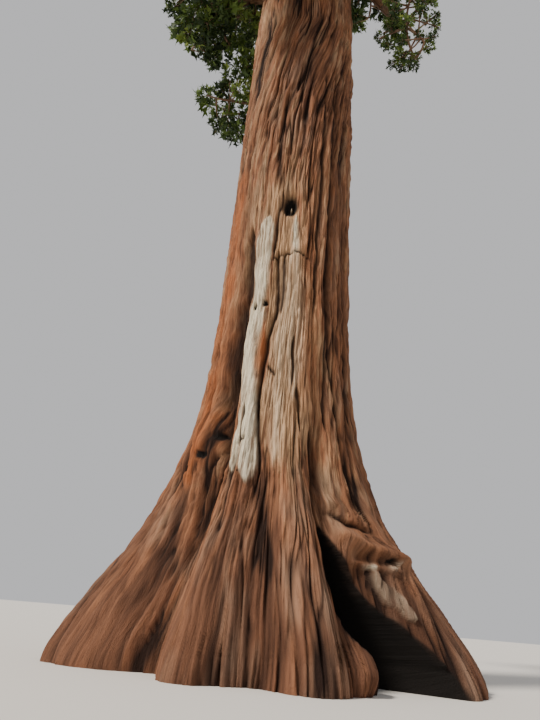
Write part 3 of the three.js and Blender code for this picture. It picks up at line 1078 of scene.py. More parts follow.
@dataclass(frozen=True)
class Breaks:
    """Thin breaks where a noise passes through 0: their width, their depth and how much shade is
    painted in them.

    Calm stretches of bark close them by a share.
    """

    ripple: Ripple
    width: float
    depth: float
    painted_shade: float
    closed: float

    def at(self, places: Places, calm: np.ndarray) -> np.ndarray:
        """How open the breaks are, 1 in the middle of one."""
        return hump(self.ripple.at(places), self.width) * (1.0 - self.closed * calm)


@dataclass(frozen=True)
class Effect:
    """What a kind of streak or crease does: how its edge sways and frays, and what it leaves behind,
    including painted shade in its groove and the painted shade that it fills in.
    """

    sway: float = 0.0
    fray: float = 0.0
    bleach: float = 0.0
    rust_and_sunlight: float = 0.0
    crack_shade: float = 0.0
    fill: float = 0.0


@dataclass
class BarkState:
    """The bark at each place while it is worked out: how far it stands out, and what marks it."""

    out: np.ndarray
    cavity_shade: np.ndarray
    bleach: np.ndarray
    rust_and_sunlight: np.ndarray
    # How much shade is painted black inside holes.
    hole: np.ndarray

    def lay(self, mark: Trail | Ledge, strength: np.ndarray, effect: Effect) -> None:
        """Lays one streak or crease on the bark.

        Args:
            mark: The streak or crease.
            strength: How strongly it shows at each place.
            effect: What its kind does.
        """
        self.out = self.out + mark.out * strength
        self.bleach = np.maximum(self.bleach, effect.bleach * strength)
        self.rust_and_sunlight = np.maximum(self.rust_and_sunlight, effect.rust_and_sunlight * strength)
        # A groove gets painted shade, and filling takes painted shade away.
        filled = self.cavity_shade * (1.0 - effect.fill * strength)
        self.cavity_shade = np.maximum(filled, effect.crack_shade * strength)


# Distances from the trunk's axis, what each mask says, and places in the grain
BarkReading = tuple[np.ndarray, dict[Mask, np.ndarray], np.ndarray]


@dataclass(frozen=True)
class Bark:
    """The bark's relief and the marks on it."""

    shape: TrunkShape = TrunkShape()
    scar: FireScar = FireScar()
    bleached: tuple[Trail, ...] = (
        Trail(
            (5.3, 6.4, 7.8, 9.0, 10.2, 11.0, 12.2, 14.0, 15.4),
            (-14, -16, -20, -24.5, -26, -23, -22, -21, -20),
            0.25,
            0.1,
            0.4,
            5.0,
        ),
        Trail((5.6, 6.6, 7.6), (-24, -24.5, -25), 0.1, 0.06, 0.4, 3.0),
        Trail((13.9, 14.7, 15.4), (5, 5, 4.5), 0.07, 0.0, 0.4, 2.0),
    )
    pale: tuple[Trail, ...] = (
        Trail((8.6, 10.2, 11.8, 13.7), (10, 9, 8, 5), 0.3, 0.04, 1.2, 3.0),
        Trail((6.5, 9.0, 11.0, 13.4), (0, -2, -1, 3), 0.2, 0.02, 1.4, 2.0),
        Trail((9.0, 12.0, 15.0), (-31, -30, -28), 0.1, 0.02, 1.5, 2.0),
        Trail((1.85, 2.1, 2.5, 2.8), (54.4, 52, 49.5, 48), 0.18, 0.14, 0.25, 5.0),
    )
    rusty: tuple[Trail, ...] = (
        Trail(
            (5.6, 7.4, 9.0, 11.6, 13.2, 15.5, 19),
            (-53, -56, -62, -65, -60, -61, -62),
            0.34,
            0.03,
            1.2,
            3.0,
        ),
        Trail((6.0, 9.0, 12.5, 17.0), (-74, -78, -80, -82), 0.2, 0.0, 2.0, 3.0),
        Trail((8.6, 10.6), (-12, -16), 0.1, 0.0, 0.6, 2.0),
    )
    cracks: tuple[Trail, ...] = (
        Trail(
            (5.5, 6.4, 7.8, 8.9, 10.1, 11.3, 13.7),
            (-8, -10, -14, -13, -11, -6, -8),
            0.07,
            -0.2,
            0.4,
        ),
        Trail((5.5, 6.7, 8.2, 10.1, 12.2, 14.9), (-29, -40, -45, -47, -39, -40), 0.2, -0.24, 1.0, 3.0),
        Trail((6.3, 7.0, 7.6), (-21.5, -22, -22), 0.035, -0.12, 0.25),
        Trail((8.6, 9.4, 10.2), (9.5, 9, 8.5), 0.05, -0.12, 0.3),
        Trail((7.0, 7.7, 8.3), (15, 14, 13), 0.05, -0.12, 0.3),
        Trail((13.7, 15.0, 16.6), (-12, -12, -9), 0.05, -0.1, 0.5),
        Trail((11.4, 13.6), (-3, -2), 0.08, -0.12, 0.4),
        Trail((4.3, 4.8, 5.7, 6.9), (25, 26, 27, 26), 0.12, -0.2, 0.5),
        Trail((12, 16, 22), (24, 26, 28), 0.07, -0.12, 1.5),
        Trail((8, 12, 18, 24), (36, 38, 38, 40), 0.08, -0.14, 2.0),
    )
    creases: tuple[Ledge, ...] = (
        Ledge((-15, -6, 2, 11, 20), (13.55, 13.75, 13.8, 13.9, 13.7), 0.035, -0.06),
        Ledge((-10, -3), (9.1, 8.75), 0.06, -0.1, 1.5),
        Ledge((-24, -18), (6.35, 6.5), 0.05, -0.1, 1.5),
    )
    rolls: tuple[Ledge, ...] = (
        Ledge((35, 41, 48, 55, 60), (3.86, 3.72, 3.5, 3.42, 3.26), 0.15, 0.32, 4.0),
        Ledge((41, 48, 55), (3.12, 3.04, 2.96), 0.07, 0.12),
        Ledge((28, 38, 46, 58), (4.95, 4.62, 4.42, 4.3), 0.2, 0.13, 4.0),
    )
    # Painted shadow in the crease under the burl roll.
    roll_creases: tuple[Ledge, ...] = (Ledge((33, 42, 54), (4.36, 4.16, 4.0), 0.06, -0.14, 4.0),)
    scraps: tuple[Ledge, ...] = (
        Ledge((44, 46, 48), (2.94, 2.92, 3.0), 0.06, 0.1, 1.0),
        Ledge((52, 54, 55), (3.04, 3.08, 3.16), 0.05, 0.1, 1.0),
        Ledge((-3, -1.5, 0.5), (16.1, 16.02, 16.12), 0.12, 0.3, 1.2),
    )
    pits: tuple[Pit, ...] = (
        Pit(-1.5, 16.15, 0.33, 0.52, 0.5),
        Pit(-47, 6.8, 0.14, 0.12, 0.16),
        Pit(-51, 6.1, 0.12, 0.14, 0.14),
        Pit(-57, 5.6, 0.14, 0.1, 0.14),
        Pit(-24, 11.5, 0.09, 0.11, 0.14),
        Pit(-16, 11.6, 0.1, 0.12, 0.16),
        Pit(53, 3.22, 0.14, 0.09, 0.16),
    )
    # The front's warm tan is partly its paler bark and partly painted sunlight; the next two are
    # painted sunlight, on a patch of the front and on the left side.
    front: Zone = Zone(-2.0, 19.0, 1.0, (4.5, 7.5), (14.0, 19.0))
    painted_sunlight: Zone = Zone(18.0, 6.0, 0.55, (6.5, 9.0), (15.0, 20.0))
    sunlit_left: Zone = Zone(-60.0, 16.0, 0.3, (3.0, 7.0))
    furrows: Breaks = Breaks(Ripple(0.6, 9.0, 3), 0.1, 0.14, 0.85, 0.35)
    clefts: Breaks = Breaks(Ripple(0.24, 3.4, 4), 0.1, 0.1, 0.6, 0.75)
    splits: Breaks = Breaks(Ripple(0.09, 1.7, 5), 0.13, 0.05, 0.55, 0.45)
    grain_start: float = 17.5
    grain_end: float = 28.0
    grain_lean: float = 3.4

    SWING = Ripple(1.9, 9.0, 1)
    SWING_DEGREES = 3.6
    WOBBLE = Ripple(0.55, 2.2, 2)
    WOBBLE_DEGREES = 1.9
    FLARE_STRETCH = 0.5
    LEAST_WIDTH = 1.0
    LEAST_SLENDERNESS = 0.2

    CALM = Ripple(0.8, 6.0, 13)
    CALM_LEVELS = (-0.3, 0.4)
    CALM_FRONT = 0.85
    FRONT_SMOOTHING = 0.6
    STANDS_OUT = 0.06
    PLATE = Ripple(0.33, 2.3, 6)
    PLATE_OUT = 0.035
    PLATE_FLARE = 0.4
    FIBRE = Ripple(0.04, 0.7, 7)
    FIBRE_OUT = 0.03
    FLAKE = Ripple(0.11, 0.45, 11)
    FLAKE_OUT = 0.04
    FLAKE_FLARE = 0.7
    SPLIT_FLARE = 0.6
    CAVITY_FLARE = 0.15
    LUMP = Ripple(0.8, 1.1, 8)
    LUMP_OUT = 0.04
    LUMP_POWER = 0.5

    FRONT_BLEACH = 0.08
    BLEACHED_PLATES = (0.0, 0.8)
    PLATE_RUST = 0.2
    RUSTY_PLATES = (0.1, 0.9)
    # The root flare is painted darker and greyer, partly as shade at the foot and partly as its duller
    # bark.
    FLARE_SHADE = 0.5
    WARMTH_LIMITS = (-0.5, 1.0)

    SWAY = Ripple(0.45, 0.8, 9)
    SWAY_WIDTH = 0.1
    FRAY = Ripple(0.12, 0.25, 10)
    FRAY_WIDTH = 0.03
    SCRAP_FRAY = 1.5
    SCRAP_FLAKES = (-0.5, 0.3)
    SCRAP = Effect(bleach=0.75, fill=1.0)

    RIM = Ripple(1.5, 1.3, 12)
    RIM_DEGREES = 0.5
    WALL_LUMP = 0.08
    WALL_PLATE = 0.04
    CHAR_DEPTHS = (0.01, 0.16)
    HOLE_LEVELS = (0.15, 0.7)

    def effects(self) -> tuple[tuple[tuple[Trail | Ledge, ...], Effect], ...]:
        """Pairs each kind of streak and crease with what it does.

        Returns:
            The pairs, in the order that they are laid on.
        """
        return (
            (self.bleached, Effect(fray=1.0, bleach=1.0, fill=0.75)),
            (self.pale, Effect(fray=1.0, bleach=0.3, fill=0.4)),
            (self.rusty, Effect(sway=1.0, rust_and_sunlight=1.0, fill=0.2)),
            # Cracks and creases leave painted shade in their grooves.
            (self.cracks, Effect(fray=0.5, crack_shade=0.95)),
            (self.creases, Effect(fray=0.6, crack_shade=1.0)),
            (self.rolls, Effect(sway=0.7, fill=0.5)),
            (self.roll_creases, Effect(sway=0.7, crack_shade=1.0, fill=0.5)),
        )

    def lean(self, height: np.ndarray) -> np.ndarray:
        """How far the grain has turned: high up it climbs to the right.

        Args:
            height: Where to read it.

        Returns:
            A number of degrees for each height.
        """
        length = self.grain_end - self.grain_start
        share = np.clip((height - self.grain_start) / length, 0.0, 1.0)
        return self.grain_lean * length * (share**2 * (3.0 - share) / 2.0)

    def read(self, bearing: np.ndarray, height: np.ndarray) -> BarkReading:
        """The bark's surface.

        Args:
            bearing, height: Where to read it.

        Returns:
            Its distance from the trunk's axis, what each mask says there, and its place in the grain.
        """
        smooth = self.shape.radius(bearing, height)
        shaft = self.shape.shaft(height)
        flare = self.shape.flare(height)
        wander = self.SWING_DEGREES * self.SWING.at((bearing, shaft, height))
        wander += self.WOBBLE_DEGREES * self.WOBBLE.at((bearing, shaft, height))
        along = bearing + wander - self.lean(height)
        stretched = height * (1.0 - self.FLARE_STRETCH * flare)
        width = np.maximum(shaft, self.LEAST_WIDTH)
        on_bark = (bearing, smooth, height)
        on_grain = (along, width, stretched)

        front = self.front.strength(bearing, height)
        plate = self.PLATE.at(on_grain)
        flake = self.FLAKE.at(on_grain)
        lump = self.LUMP.at(on_bark)
        out, cavity_shade = self.relief((along, width, height), on_grain, flare, front)
        out = out + self.PLATE_OUT * plate * (1.0 - self.PLATE_FLARE * flare)
        out = out + self.FLAKE_OUT * flake * (1.0 - self.FLAKE_FLARE * flare)
        out = out * np.clip(shaft / SHAFT_RADIUS, self.LEAST_SLENDERNESS, 1.0)
        out = out + self.LUMP_OUT * lump * flare**self.LUMP_POWER

        bleach = self.FRONT_BLEACH * front * smooth_step(plate, *self.BLEACHED_PLATES)
        rust_and_sunlight = self.PLATE_RUST * smooth_step(plate, *self.RUSTY_PLATES)
        # Painted sunlight on a patch of the front, laid on as rusty orange.
        rust_and_sunlight = np.maximum(rust_and_sunlight, self.painted_sunlight.strength(bearing, height))
        state = BarkState(out, cavity_shade, bleach, rust_and_sunlight, np.zeros(len(bearing)))
        self.mark(state, on_bark, flake)

        bark = smooth + state.out
        rim = self.RIM_DEGREES * self.RIM.at(on_bark)
        wall = self.scar.wall(bearing, height, rim) + self.WALL_LUMP * lump + self.WALL_PLATE * plate
        radius = np.minimum(bark, wall)
        # Inside the hollow the bark is charred black, real charring and painted shade of the hollow
        # together; soot chars the rim.
        charred = smooth_step(bark - radius, *self.CHAR_DEPTHS)
        charred = np.maximum(charred, self.scar.soot(bearing, height, rim, smooth))
        # Partly painted light: warmer on the lit front and left, darker and greyer on the shaded root
        # flare.
        warmth_and_light = front - self.FLARE_SHADE * flare + self.sunlit_left.strength(bearing, height)
        masks = {
            Mask.CAVITY_SHADE: state.cavity_shade,
            Mask.BLEACH: state.bleach * (1.0 - charred),
            Mask.RUST_AND_SUNLIGHT: state.rust_and_sunlight * (1.0 - charred),
            Mask.CHAR_AND_SHADE: np.maximum(charred, smooth_step(state.hole, *self.HOLE_LEVELS)),
            Mask.WARMTH_AND_LIGHT: np.clip(warmth_and_light, *self.WARMTH_LIMITS),
        }
        return radius, masks, round_trunk(along, shaft, stretched)

    def relief(
        self, on_trunk: Places, on_grain: Places, flare: np.ndarray, front: np.ndarray
    ) -> tuple[np.ndarray, np.ndarray]:
        """The furrows, clefts, splits and fibres, which are weaker in calm stretches of bark.

        Args:
            on_trunk: Where to read the long furrows.
            on_grain: Where to read what the root flare stretches.
            flare: How much root flare there is.
            front: How much of the front's smoother bark there is.

        Returns:
            How far they make the bark stand out, and how much shade is painted in them.
        """
        calm = smooth_step(self.CALM.at(on_trunk), *self.CALM_LEVELS)
        calm = np.maximum(calm, self.CALM_FRONT * front)
        deep = 1.0 - self.FRONT_SMOOTHING * front
        furrow = self.furrows.at(on_trunk, calm)
        cleft = self.clefts.at(on_grain, calm)
        split = self.splits.at(on_grain, calm)
        out = self.STANDS_OUT - self.furrows.depth * furrow * deep - self.clefts.depth * cleft
        out = out - self.splits.depth * split * (1.0 + self.SPLIT_FLARE * flare)
        out = out + self.FIBRE_OUT * self.FIBRE.at(on_grain) * (1.0 + flare)
        cavity_shade = self.furrows.painted_shade * furrow**2 * deep + self.clefts.painted_shade * cleft**2
        cavity_shade = cavity_shade * (1.0 - self.CAVITY_FLARE * flare) + self.splits.painted_shade * split
        return out, cavity_shade

    def mark(self, state: BarkState, on_bark: Places, flake: np.ndarray) -> None:
        """Lays the streaks, creases, pits and scraps on the bark.

        Args:
            state: The bark, which is changed.
            on_bark: Where it is worked out, on the smooth trunk.
            flake: The noise of flakes there, which breaks up the scraps.
        """
        sway = self.SWAY_WIDTH * self.SWAY.at(on_bark)
        fray = sway + self.FRAY_WIDTH * self.FRAY.at(on_bark)
        for marks, effect in self.effects():
            edge = effect.sway * sway + effect.fray * fray
            for mark in marks:
                state.lay(mark, mark.strength(on_bark, edge), effect)
        # Pits sink the bark and are painted black inside as shade; scraps lie over that painted shade.
        for pit in self.pits:
            strength = pit.strength(on_bark)
            state.out = state.out - pit.depth * strength
            state.hole = np.maximum(state.hole, strength)
        for scrap in self.scraps:
            strength = scrap.strength(on_bark, self.SCRAP_FRAY * fray)
            strength = strength * smooth_step(flake, *self.SCRAP_FLAKES)
            state.lay(scrap, strength, self.SCRAP)
            state.hole = state.hole * (1.0 - strength)


@dataclass(frozen=True)
class TrunkSection:
    """One length of the trunk, and how finely it is cut."""

    name: str
    foot: float
    top: float
    columns: int
    rings: tuple[int, int]
    tucked: float = 0.0


@dataclass
class Trunk:
    """The trunk's bark, in stacked closed lengths whose columns crowd together at the front."""

    bark: Bark = field(default_factory=Bark)
    sections: tuple[TrunkSection, ...] = (
        TrunkSection("trunk_foot", 0.0, 5.4, 640, (11, 10)),
        TrunkSection("trunk_bole", 5.4, 15.0, 640, (11, 10)),
        TrunkSection("trunk_shaft", 15.0, 31.5, 640, (13, 10)),
        TrunkSection("trunk_spire", 31.0, TRUNK_TOP, 320, (18, 10), 0.03),
    )
    crowding: float = 0.55
    crowded_bearing: float = 12.0
    rim_crowding: float = 0.6
    rim_columns: tuple[float, float] = (22.0, 48.0)
    rim_margin: float = 75.0
    rim_fade: tuple[float, float] = (4.1, 5.3)
    tuck_fade: float = 0.6
    normal_step: float = 0.06

    SEAM_WITHIN = 1e-4

    def bearings(self, even: np.ndarray, height: np.ndarray) -> np.ndarray:
        """The bearings of the trunk's columns.

        Args:
            even: Evenly spread angles, one for each column.
            height: Where to read them.

        Returns:
            Bearings that crowd together at the front and follow the hollow's two sides.
        """
        off = np.radians(even - self.crowded_bearing)
        bearing = turn_between(even - np.degrees(self.crowding * np.sin(off)), 0.0)
        first, last = self.rim_columns
        left, right = self.bark.scar.sides(height)
        share = (bearing - first) / (last - first)
        share = share - self.rim_crowding * np.sin(2.0 * math.pi * share) / (2.0 * math.pi)
        margin = self.rim_margin
        before = np.clip((bearing - first + margin) / margin, 0.0, 1.0) * (left - first)
        after = np.clip((last + margin - bearing) / margin, 0.0, 1.0) * (right - last)
        followed = np.where(bearing < first, bearing + before, bearing + after)
        inside = (bearing >= first) & (bearing <= last)
        followed = np.where(inside, left + (right - left) * share, followed)
        return bearing + (followed - bearing) * (1.0 - smooth_step(height, *self.rim_fade))

    def surface(self, bearing: np.ndarray, height: np.ndarray) -> np.ndarray:
        """The bark's places in living metres."""
        return round_trunk(bearing, self.bark.read(bearing, height)[0], height)

    def facing(self, bearing: np.ndarray, height: np.ndarray) -> np.ndarray:
        """The directions that the bark faces.

        Args:
            bearing, height: Where to read them.

        Returns:
            One unit direction to a row.
        """
        step = self.normal_step
        turn = np.degrees(step / SHAFT_RADIUS)
        round_it = self.surface(bearing + turn, height) - self.surface(bearing - turn, height)
        up_it = self.surface(bearing, height + step) - self.surface(bearing, height - step)
        return unit(np.cross(round_it, up_it))

    def shape_section(self, section: TrunkSection) -> bpy.types.Object:
        """Builds one length of the trunk.

        Args:
            section: The length.

        Returns:
            Its piece.
        """
        piece = add_cage(section.name, section.columns, section.rings)
        level, share, on_axis = cage_places(piece)
        height = section.foot + (section.top - section.foot) * share
        bearing = self.bearings(np.degrees(np.arctan2(level[:, 0], -level[:, 1])), height)
        radius, masks, grain = self.bark.read(bearing, height)
        untucked = smooth_step(height, section.foot, section.foot + self.tuck_fade)
        radius = np.where(on_axis, 0.0, radius - section.tucked * (1.0 - untucked))
        move_vertices(piece, round_trunk(bearing, radius, height) * LIVING_METRE)
        for mask, values in masks.items():
            set_mask(piece, mask, values)
        set_grain(piece, grain)
        self.smooth(piece, section, bearing, height, on_axis)
        return piece

    def smooth(
        self,
        piece: bpy.types.Object,
        section: TrunkSection,
        bearing: np.ndarray,
        height: np.ndarray,
        on_axis: np.ndarray,
    ) -> None:
        """Shades the bark smoothly, with the same facings on both sides of a seam.

        Args:
            piece: The length's piece.
            section: The length.
            bearing, height: Where each vertex stands.
            on_axis: Which of them are on the axis.
        """
        mesh = piece.data
        corner_vertex = np.empty(len(mesh.loops), dtype=np.int32)
        mesh.loops.foreach_get("vertex_index", corner_vertex)
        totals = np.empty(len(mesh.polygons), dtype=np.int32)
        mesh.polygons.foreach_get("loop_total", totals)
        four_sided = totals == 4
        mesh.polygons.foreach_set("use_smooth", four_sided)
        on_side = np.repeat(four_sided, totals)
        at_end = np.abs(height - section.foot) < self.SEAM_WITHIN
        at_end |= np.abs(height - section.top) < self.SEAM_WITHIN
        at_end &= ~on_axis
        facing = np.zeros((len(mesh.vertices), 3))
        facing[at_end] = self.facing(bearing[at_end], height[at_end])
        corners = np.where(on_side[:, None], facing[corner_vertex], 0.0)
        mesh.normals_split_custom_set(corners.tolist())

    def build(self, finish: bpy.types.Material) -> None:
        """Builds every length of the trunk.

        Args:
            finish: The bark's material.
        """
        for section in self.sections:
            piece = self.shape_section(section)
            piece.data.materials.append(finish)
            hand_over(piece, ["trunk"])


# Crown layout, by the source's rule


@dataclass(frozen=True)
class MassSize:
    """The half sizes of a mass of foliage: away from the trunk, across, and up."""

    out: float
    across: float
    up: float


@dataclass
class MassSpace:
    """The space that one mass keeps to: a ball stretched out, across and up, and cut by planes."""

    name: str
    bearing: float
    centre: np.ndarray
    size: MassSize
    planes: list[tuple[np.ndarray, float]] = field(default_factory=list)

    LEAST_ROOM = 0.05

    def __post_init__(self) -> None:
        """Works out its own axes."""
        self.radial = outward(self.bearing)
        self.across = outward(self.bearing + QUARTER_TURN)

    def rims(self, directions: np.ndarray) -> np.ndarray:
        """The ways from the centre to the rim.

        Args:
            directions: Unit directions of the stretched frame, one to a row.

        Returns:
            One way to a row.
        """
        ways = directions[:, :1] * self.size.out * self.radial
        ways = ways + directions[:, 1:2] * self.size.across * self.across
        ways = ways + directions[:, 2:] * self.size.up * UP
        inside = np.ones(len(ways))
        for normal, limit in self.planes:
            along = ways @ normal
            room = max(limit - float(normal @ self.centre), self.LEAST_ROOM)
            nearer = np.minimum(inside, room / np.maximum(along, NEXT_TO_NOTHING))
            inside = np.where(along > room, nearer, inside)
        return ways * inside[:, None]

    def direction_of(self, heading: np.ndarray) -> np.ndarray:
        """A heading as a direction of the stretched frame.

        Args:
            heading: A unit direction in space.

        Returns:
            A unit direction of the stretched frame.
        """
        x = heading @ self.radial / self.size.out
        y = heading @ self.across / self.size.across
        return unit(np.array((x, y, heading[2] / self.size.up)))

    def reach_towards(self, heading: np.ndarray) -> float:
        """How far the whole ball reaches.

        Args:
            heading: A unit direction in space.

        Returns:
            A length in living metres.
        """
        x = heading @ self.radial * self.size.out
        y = heading @ self.across * self.size.across
        return math.hypot(x, y, heading[2] * self.size.up)

    def holds(self, places: np.ndarray, share: float) -> np.ndarray:
        """Tells which places are inside.

        Args:
            places: The places, one to a row.
            share: The share of the ball that counts.

        Returns:
            True for each place in that share of the ball and on its own side of every plane.
        """
        off = places - self.centre
        ball = (off @ self.radial / self.size.out) ** 2 + (off @ self.across / self.size.across) ** 2
        inside = ball + (off[:, 2] / self.size.up) ** 2 < share**2
        for normal, limit in self.planes:
            inside &= places @ normal < limit
        return inside


@dataclass
class Limb:
    """One bough and the mass of foliage that it ends in."""

    label: str
    space: MassSpace
    bearing: float
    root_height: float
    root_radius: float
    curve: np.ndarray = field(default_factory=lambda: np.zeros((3, 3)))

    TIP_SHARE = 0.45
    STEPS = 24
    FINE_STEPS = 200

    @property
    def tip_radius(self) -> float:
        """The bough's radius where it enters its mass."""
        return self.root_radius * self.TIP_SHARE

    def points(self, shares: np.ndarray) -> np.ndarray:
        """Places along the bough.

        Args:
            shares: How far along it they are by its length, from 0 to 1.

        Returns:
            One place to a row.
        """
        fine = np.linspace(0.0, 1.0, self.FINE_STEPS + 1)
        dense = bend(self.curve, fine)
        lengths = np.concatenate(([0.0], np.cumsum(np.linalg.norm(np.diff(dense, axis=0), axis=1))))
        return bend(self.curve, np.interp(shares * lengths[-1], lengths, fine))

    def steps(self) -> tuple[np.ndarray, np.ndarray]:
        """Places along the bough and its radius at each."""
        shares = np.linspace(0.0, 1.0, self.STEPS + 1)
        return self.points(shares), self.root_radius + (self.tip_radius - self.root_radius) * shares


def bend(controls: np.ndarray, shares: np.ndarray) -> np.ndarray:
    """Places on a quadratic curve through its first and last control."""
    t = shares[:, None]
    return (1 - t) ** 2 * controls[0] + 2 * t * (1 - t) * controls[1] + t**2 * controls[2]


@dataclass
class CrownLayout:
    """Where every bough and mass of foliage stands: a spiral up the trunk, as in the source."""

    shape: TrunkShape = field(default_factory=TrunkShape)
    foot: float = 28.0
    radius: float = 10.6
    power: float = 2.4
    roundness: float = 0.8
    first_bearing: float = 200.0
    lowest: float = 30.5
    highest: float = 70.0
    bough_steps: int = 31
    bare_from: float = 60.0
    bare_to: float = 182.0
    bare_below: float = 43.0
    crown_seed: int = 900
    bearing_nudge: float = 9.0
    rise_nudge: float = 0.6
    least_growth: float = 0.9
    most_growth: float = 1.08
    least_crown_share: float = 0.88
    mass: MassSize = MassSize(3.9, 4.9, 3.7)
    shrink: float = 0.3
    entry_share: float = 0.72
    low_rise: float = -0.6
    high_rise: float = 5.2
    bough_radius: float = 0.62
    bough_thinning: float = 0.62
    bough_depth_share: float = 0.5
    elbow_share: float = 0.55
    elbow_rise: float = 0.12
    shortest_bough: float = 1.3
    least_reach: float = 2.0
    space_margin: float = 0.04
    hanging_bearing: float = 84.0
    hanging_root: float = 35.2
    hanging_slimness: float = 0.7
    hanging_reach: float = 5.4
    hanging_height: float = 30.6
    hanging_mass: MassSize = MassSize(2.3, 2.5, 3.4)
    top_height: float = 73.4
    top_mass: MassSize = MassSize(2.9, 2.9, 2.6)

    def crown_radius(self, height: float) -> float:
        """How far foliage reaches from the trunk's axis at a height."""
        share = min(max((height - self.foot) / (LIVING_HEIGHT - self.foot), 0.0), 1.0)
        return self.radius * (1.0 - share**self.power) ** self.roundness

    def shaft_at(self, height: float) -> float:
        """The shaft's radius at one height."""
        return float(self.shape.shaft(np.array(height)))

    def spiral(self) -> list[Limb]:
        """Lays out the spiral, without the low limbs at the back right.

        Returns:
            Its limbs, from the lowest to the highest.
        """
        limbs: list[Limb] = []
        for step in range(self.bough_steps):
            share = step / (self.bough_steps - 1)
            chance = SeededNumbers(self.crown_seed + step)
            bearing = self.first_bearing + step * GOLDEN_ANGLE
            bearing += chance.between(-self.bearing_nudge, self.bearing_nudge)
            height = self.lowest + (self.highest - self.lowest) * share
            if self.bare_from < bearing % FULL_TURN < self.bare_to and height < self.bare_below:
                continue
            grow = (1.0 - self.shrink * share) * chance.between(self.least_growth, self.most_growth)
            size = MassSize(self.mass.out * grow, self.mass.across * grow, self.mass.up * grow)
            reach = self.crown_radius(height) * chance.between(self.least_crown_share, 1.0)
            rise = self.low_rise + (self.high_rise - self.low_rise) * share
            rise += chance.between(-self.rise_nudge, self.rise_nudge)
            root_height = height - rise
            distance = max(reach - size.out, self.shaft_at(root_height) + self.least_reach)
            root_radius = self.bough_radius * (1.0 - self.bough_thinning * share)
            number = len(limbs)
            limbs.append(self.limb(number, bearing, distance, height, size, root_height, root_radius))
        return limbs

    def limb(
        self,
        index: int,
        bearing: float,
        distance: float,
        height: float,
        size: MassSize,
        root_height: float,
        root_radius: float,
    ) -> Limb:
        """Makes a limb and its mass's space.

        Args:
            index: The limb's number, from 0.
            bearing, distance, height: Where the middle of its mass stands.
            size: The mass's half sizes.
            root_height, root_radius: Where the bough leaves the trunk, and how thick it is there.

        Returns:
            The limb, with its curve still to be set.
        """
        label = f"{index + 1:02d}"
        centre = outward(bearing) * distance + np.array((0.0, 0.0, height))
        space = MassSpace(f"foliage_{label}", bearing, centre, size)
        return Limb(label, space, bearing, root_height, root_radius)

    def part(self, spaces: list[MassSpace]) -> None:
        """Sets a plane between neighbouring spaces where they would meet.

        Args:
            spaces: Every space, which are changed.
        """
        for a, b in itertools.combinations(spaces, 2):
            between = b.centre - a.centre
            gap = float(np.linalg.norm(between))
            heading = between / gap
            reach_a, reach_b = a.reach_towards(heading), b.reach_towards(heading)
            if reach_a + reach_b < gap:
                continue
            split = gap * reach_a / (reach_a + reach_b)
            a.planes.append((heading, float(heading @ a.centre) + split - self.space_margin))
            limit = float(-heading @ b.centre) + gap - split - self.space_margin
            b.planes.append((-heading, limit))

    def bough_curve(self, limb: Limb) -> np.ndarray:
        """A bough's centreline: out of the trunk's heart, round an elbow, into its mass.

        Args:
            limb: The limb.

        Returns:
            The three controls of the curve.
        """
        bark = self.shaft_at(limb.root_height)
        root = outward(limb.bearing) * bark * self.bough_depth_share + UP * limb.root_height
        collar = outward(limb.bearing) * bark + UP * limb.root_height
        back = collar - limb.space.centre
        room = float(np.linalg.norm(back)) - self.shortest_bough
        direction = limb.space.direction_of(unit(back))
        uncut = MassSpace("", limb.bearing, limb.space.centre, limb.space.size)
        plain = uncut.rims(direction[None])[0]
        share = min(self.entry_share, room / float(np.linalg.norm(plain)))
        cut = limb.space.rims(direction[None])[0]
        full = float(np.linalg.norm(cut)) / float(np.linalg.norm(plain))
        entry = limb.space.centre + plain * min(share, full)
        distance = bark + (math.hypot(entry[0], entry[1]) - bark) * self.elbow_share
        height = limb.root_height + (entry[2] - limb.root_height) * self.elbow_rise
        elbow = outward(limb.bearing) * distance + UP * height
        return np.array((root, elbow, entry))

    def build(self) -> tuple[list[Limb], MassSpace]:
        """Lays out the crown.

        Returns:
            Every limb, with the hanging one last, and the space of the top's foliage.
        """
        limbs = self.spiral()
        hanging = self.limb(
            len(limbs),
            self.hanging_bearing,
            self.hanging_reach,
            self.hanging_height,
            self.hanging_mass,
            self.hanging_root,
            self.bough_radius * self.hanging_slimness,
        )
        limbs.append(hanging)
        top = MassSpace("foliage_top", 0.0, np.array((0.0, 0.0, self.top_height)), self.top_mass)
        self.part([limb.space for limb in limbs] + [top])
        for limb in limbs:
            limb.curve = self.bough_curve(limb)
        return limbs, top


# Boughs, twigs and sprays

# Turns a direction well away from itself
TILTED = np.array(Matrix.Rotation(1.1, 3, (0.4, 0.7, 0.6)))


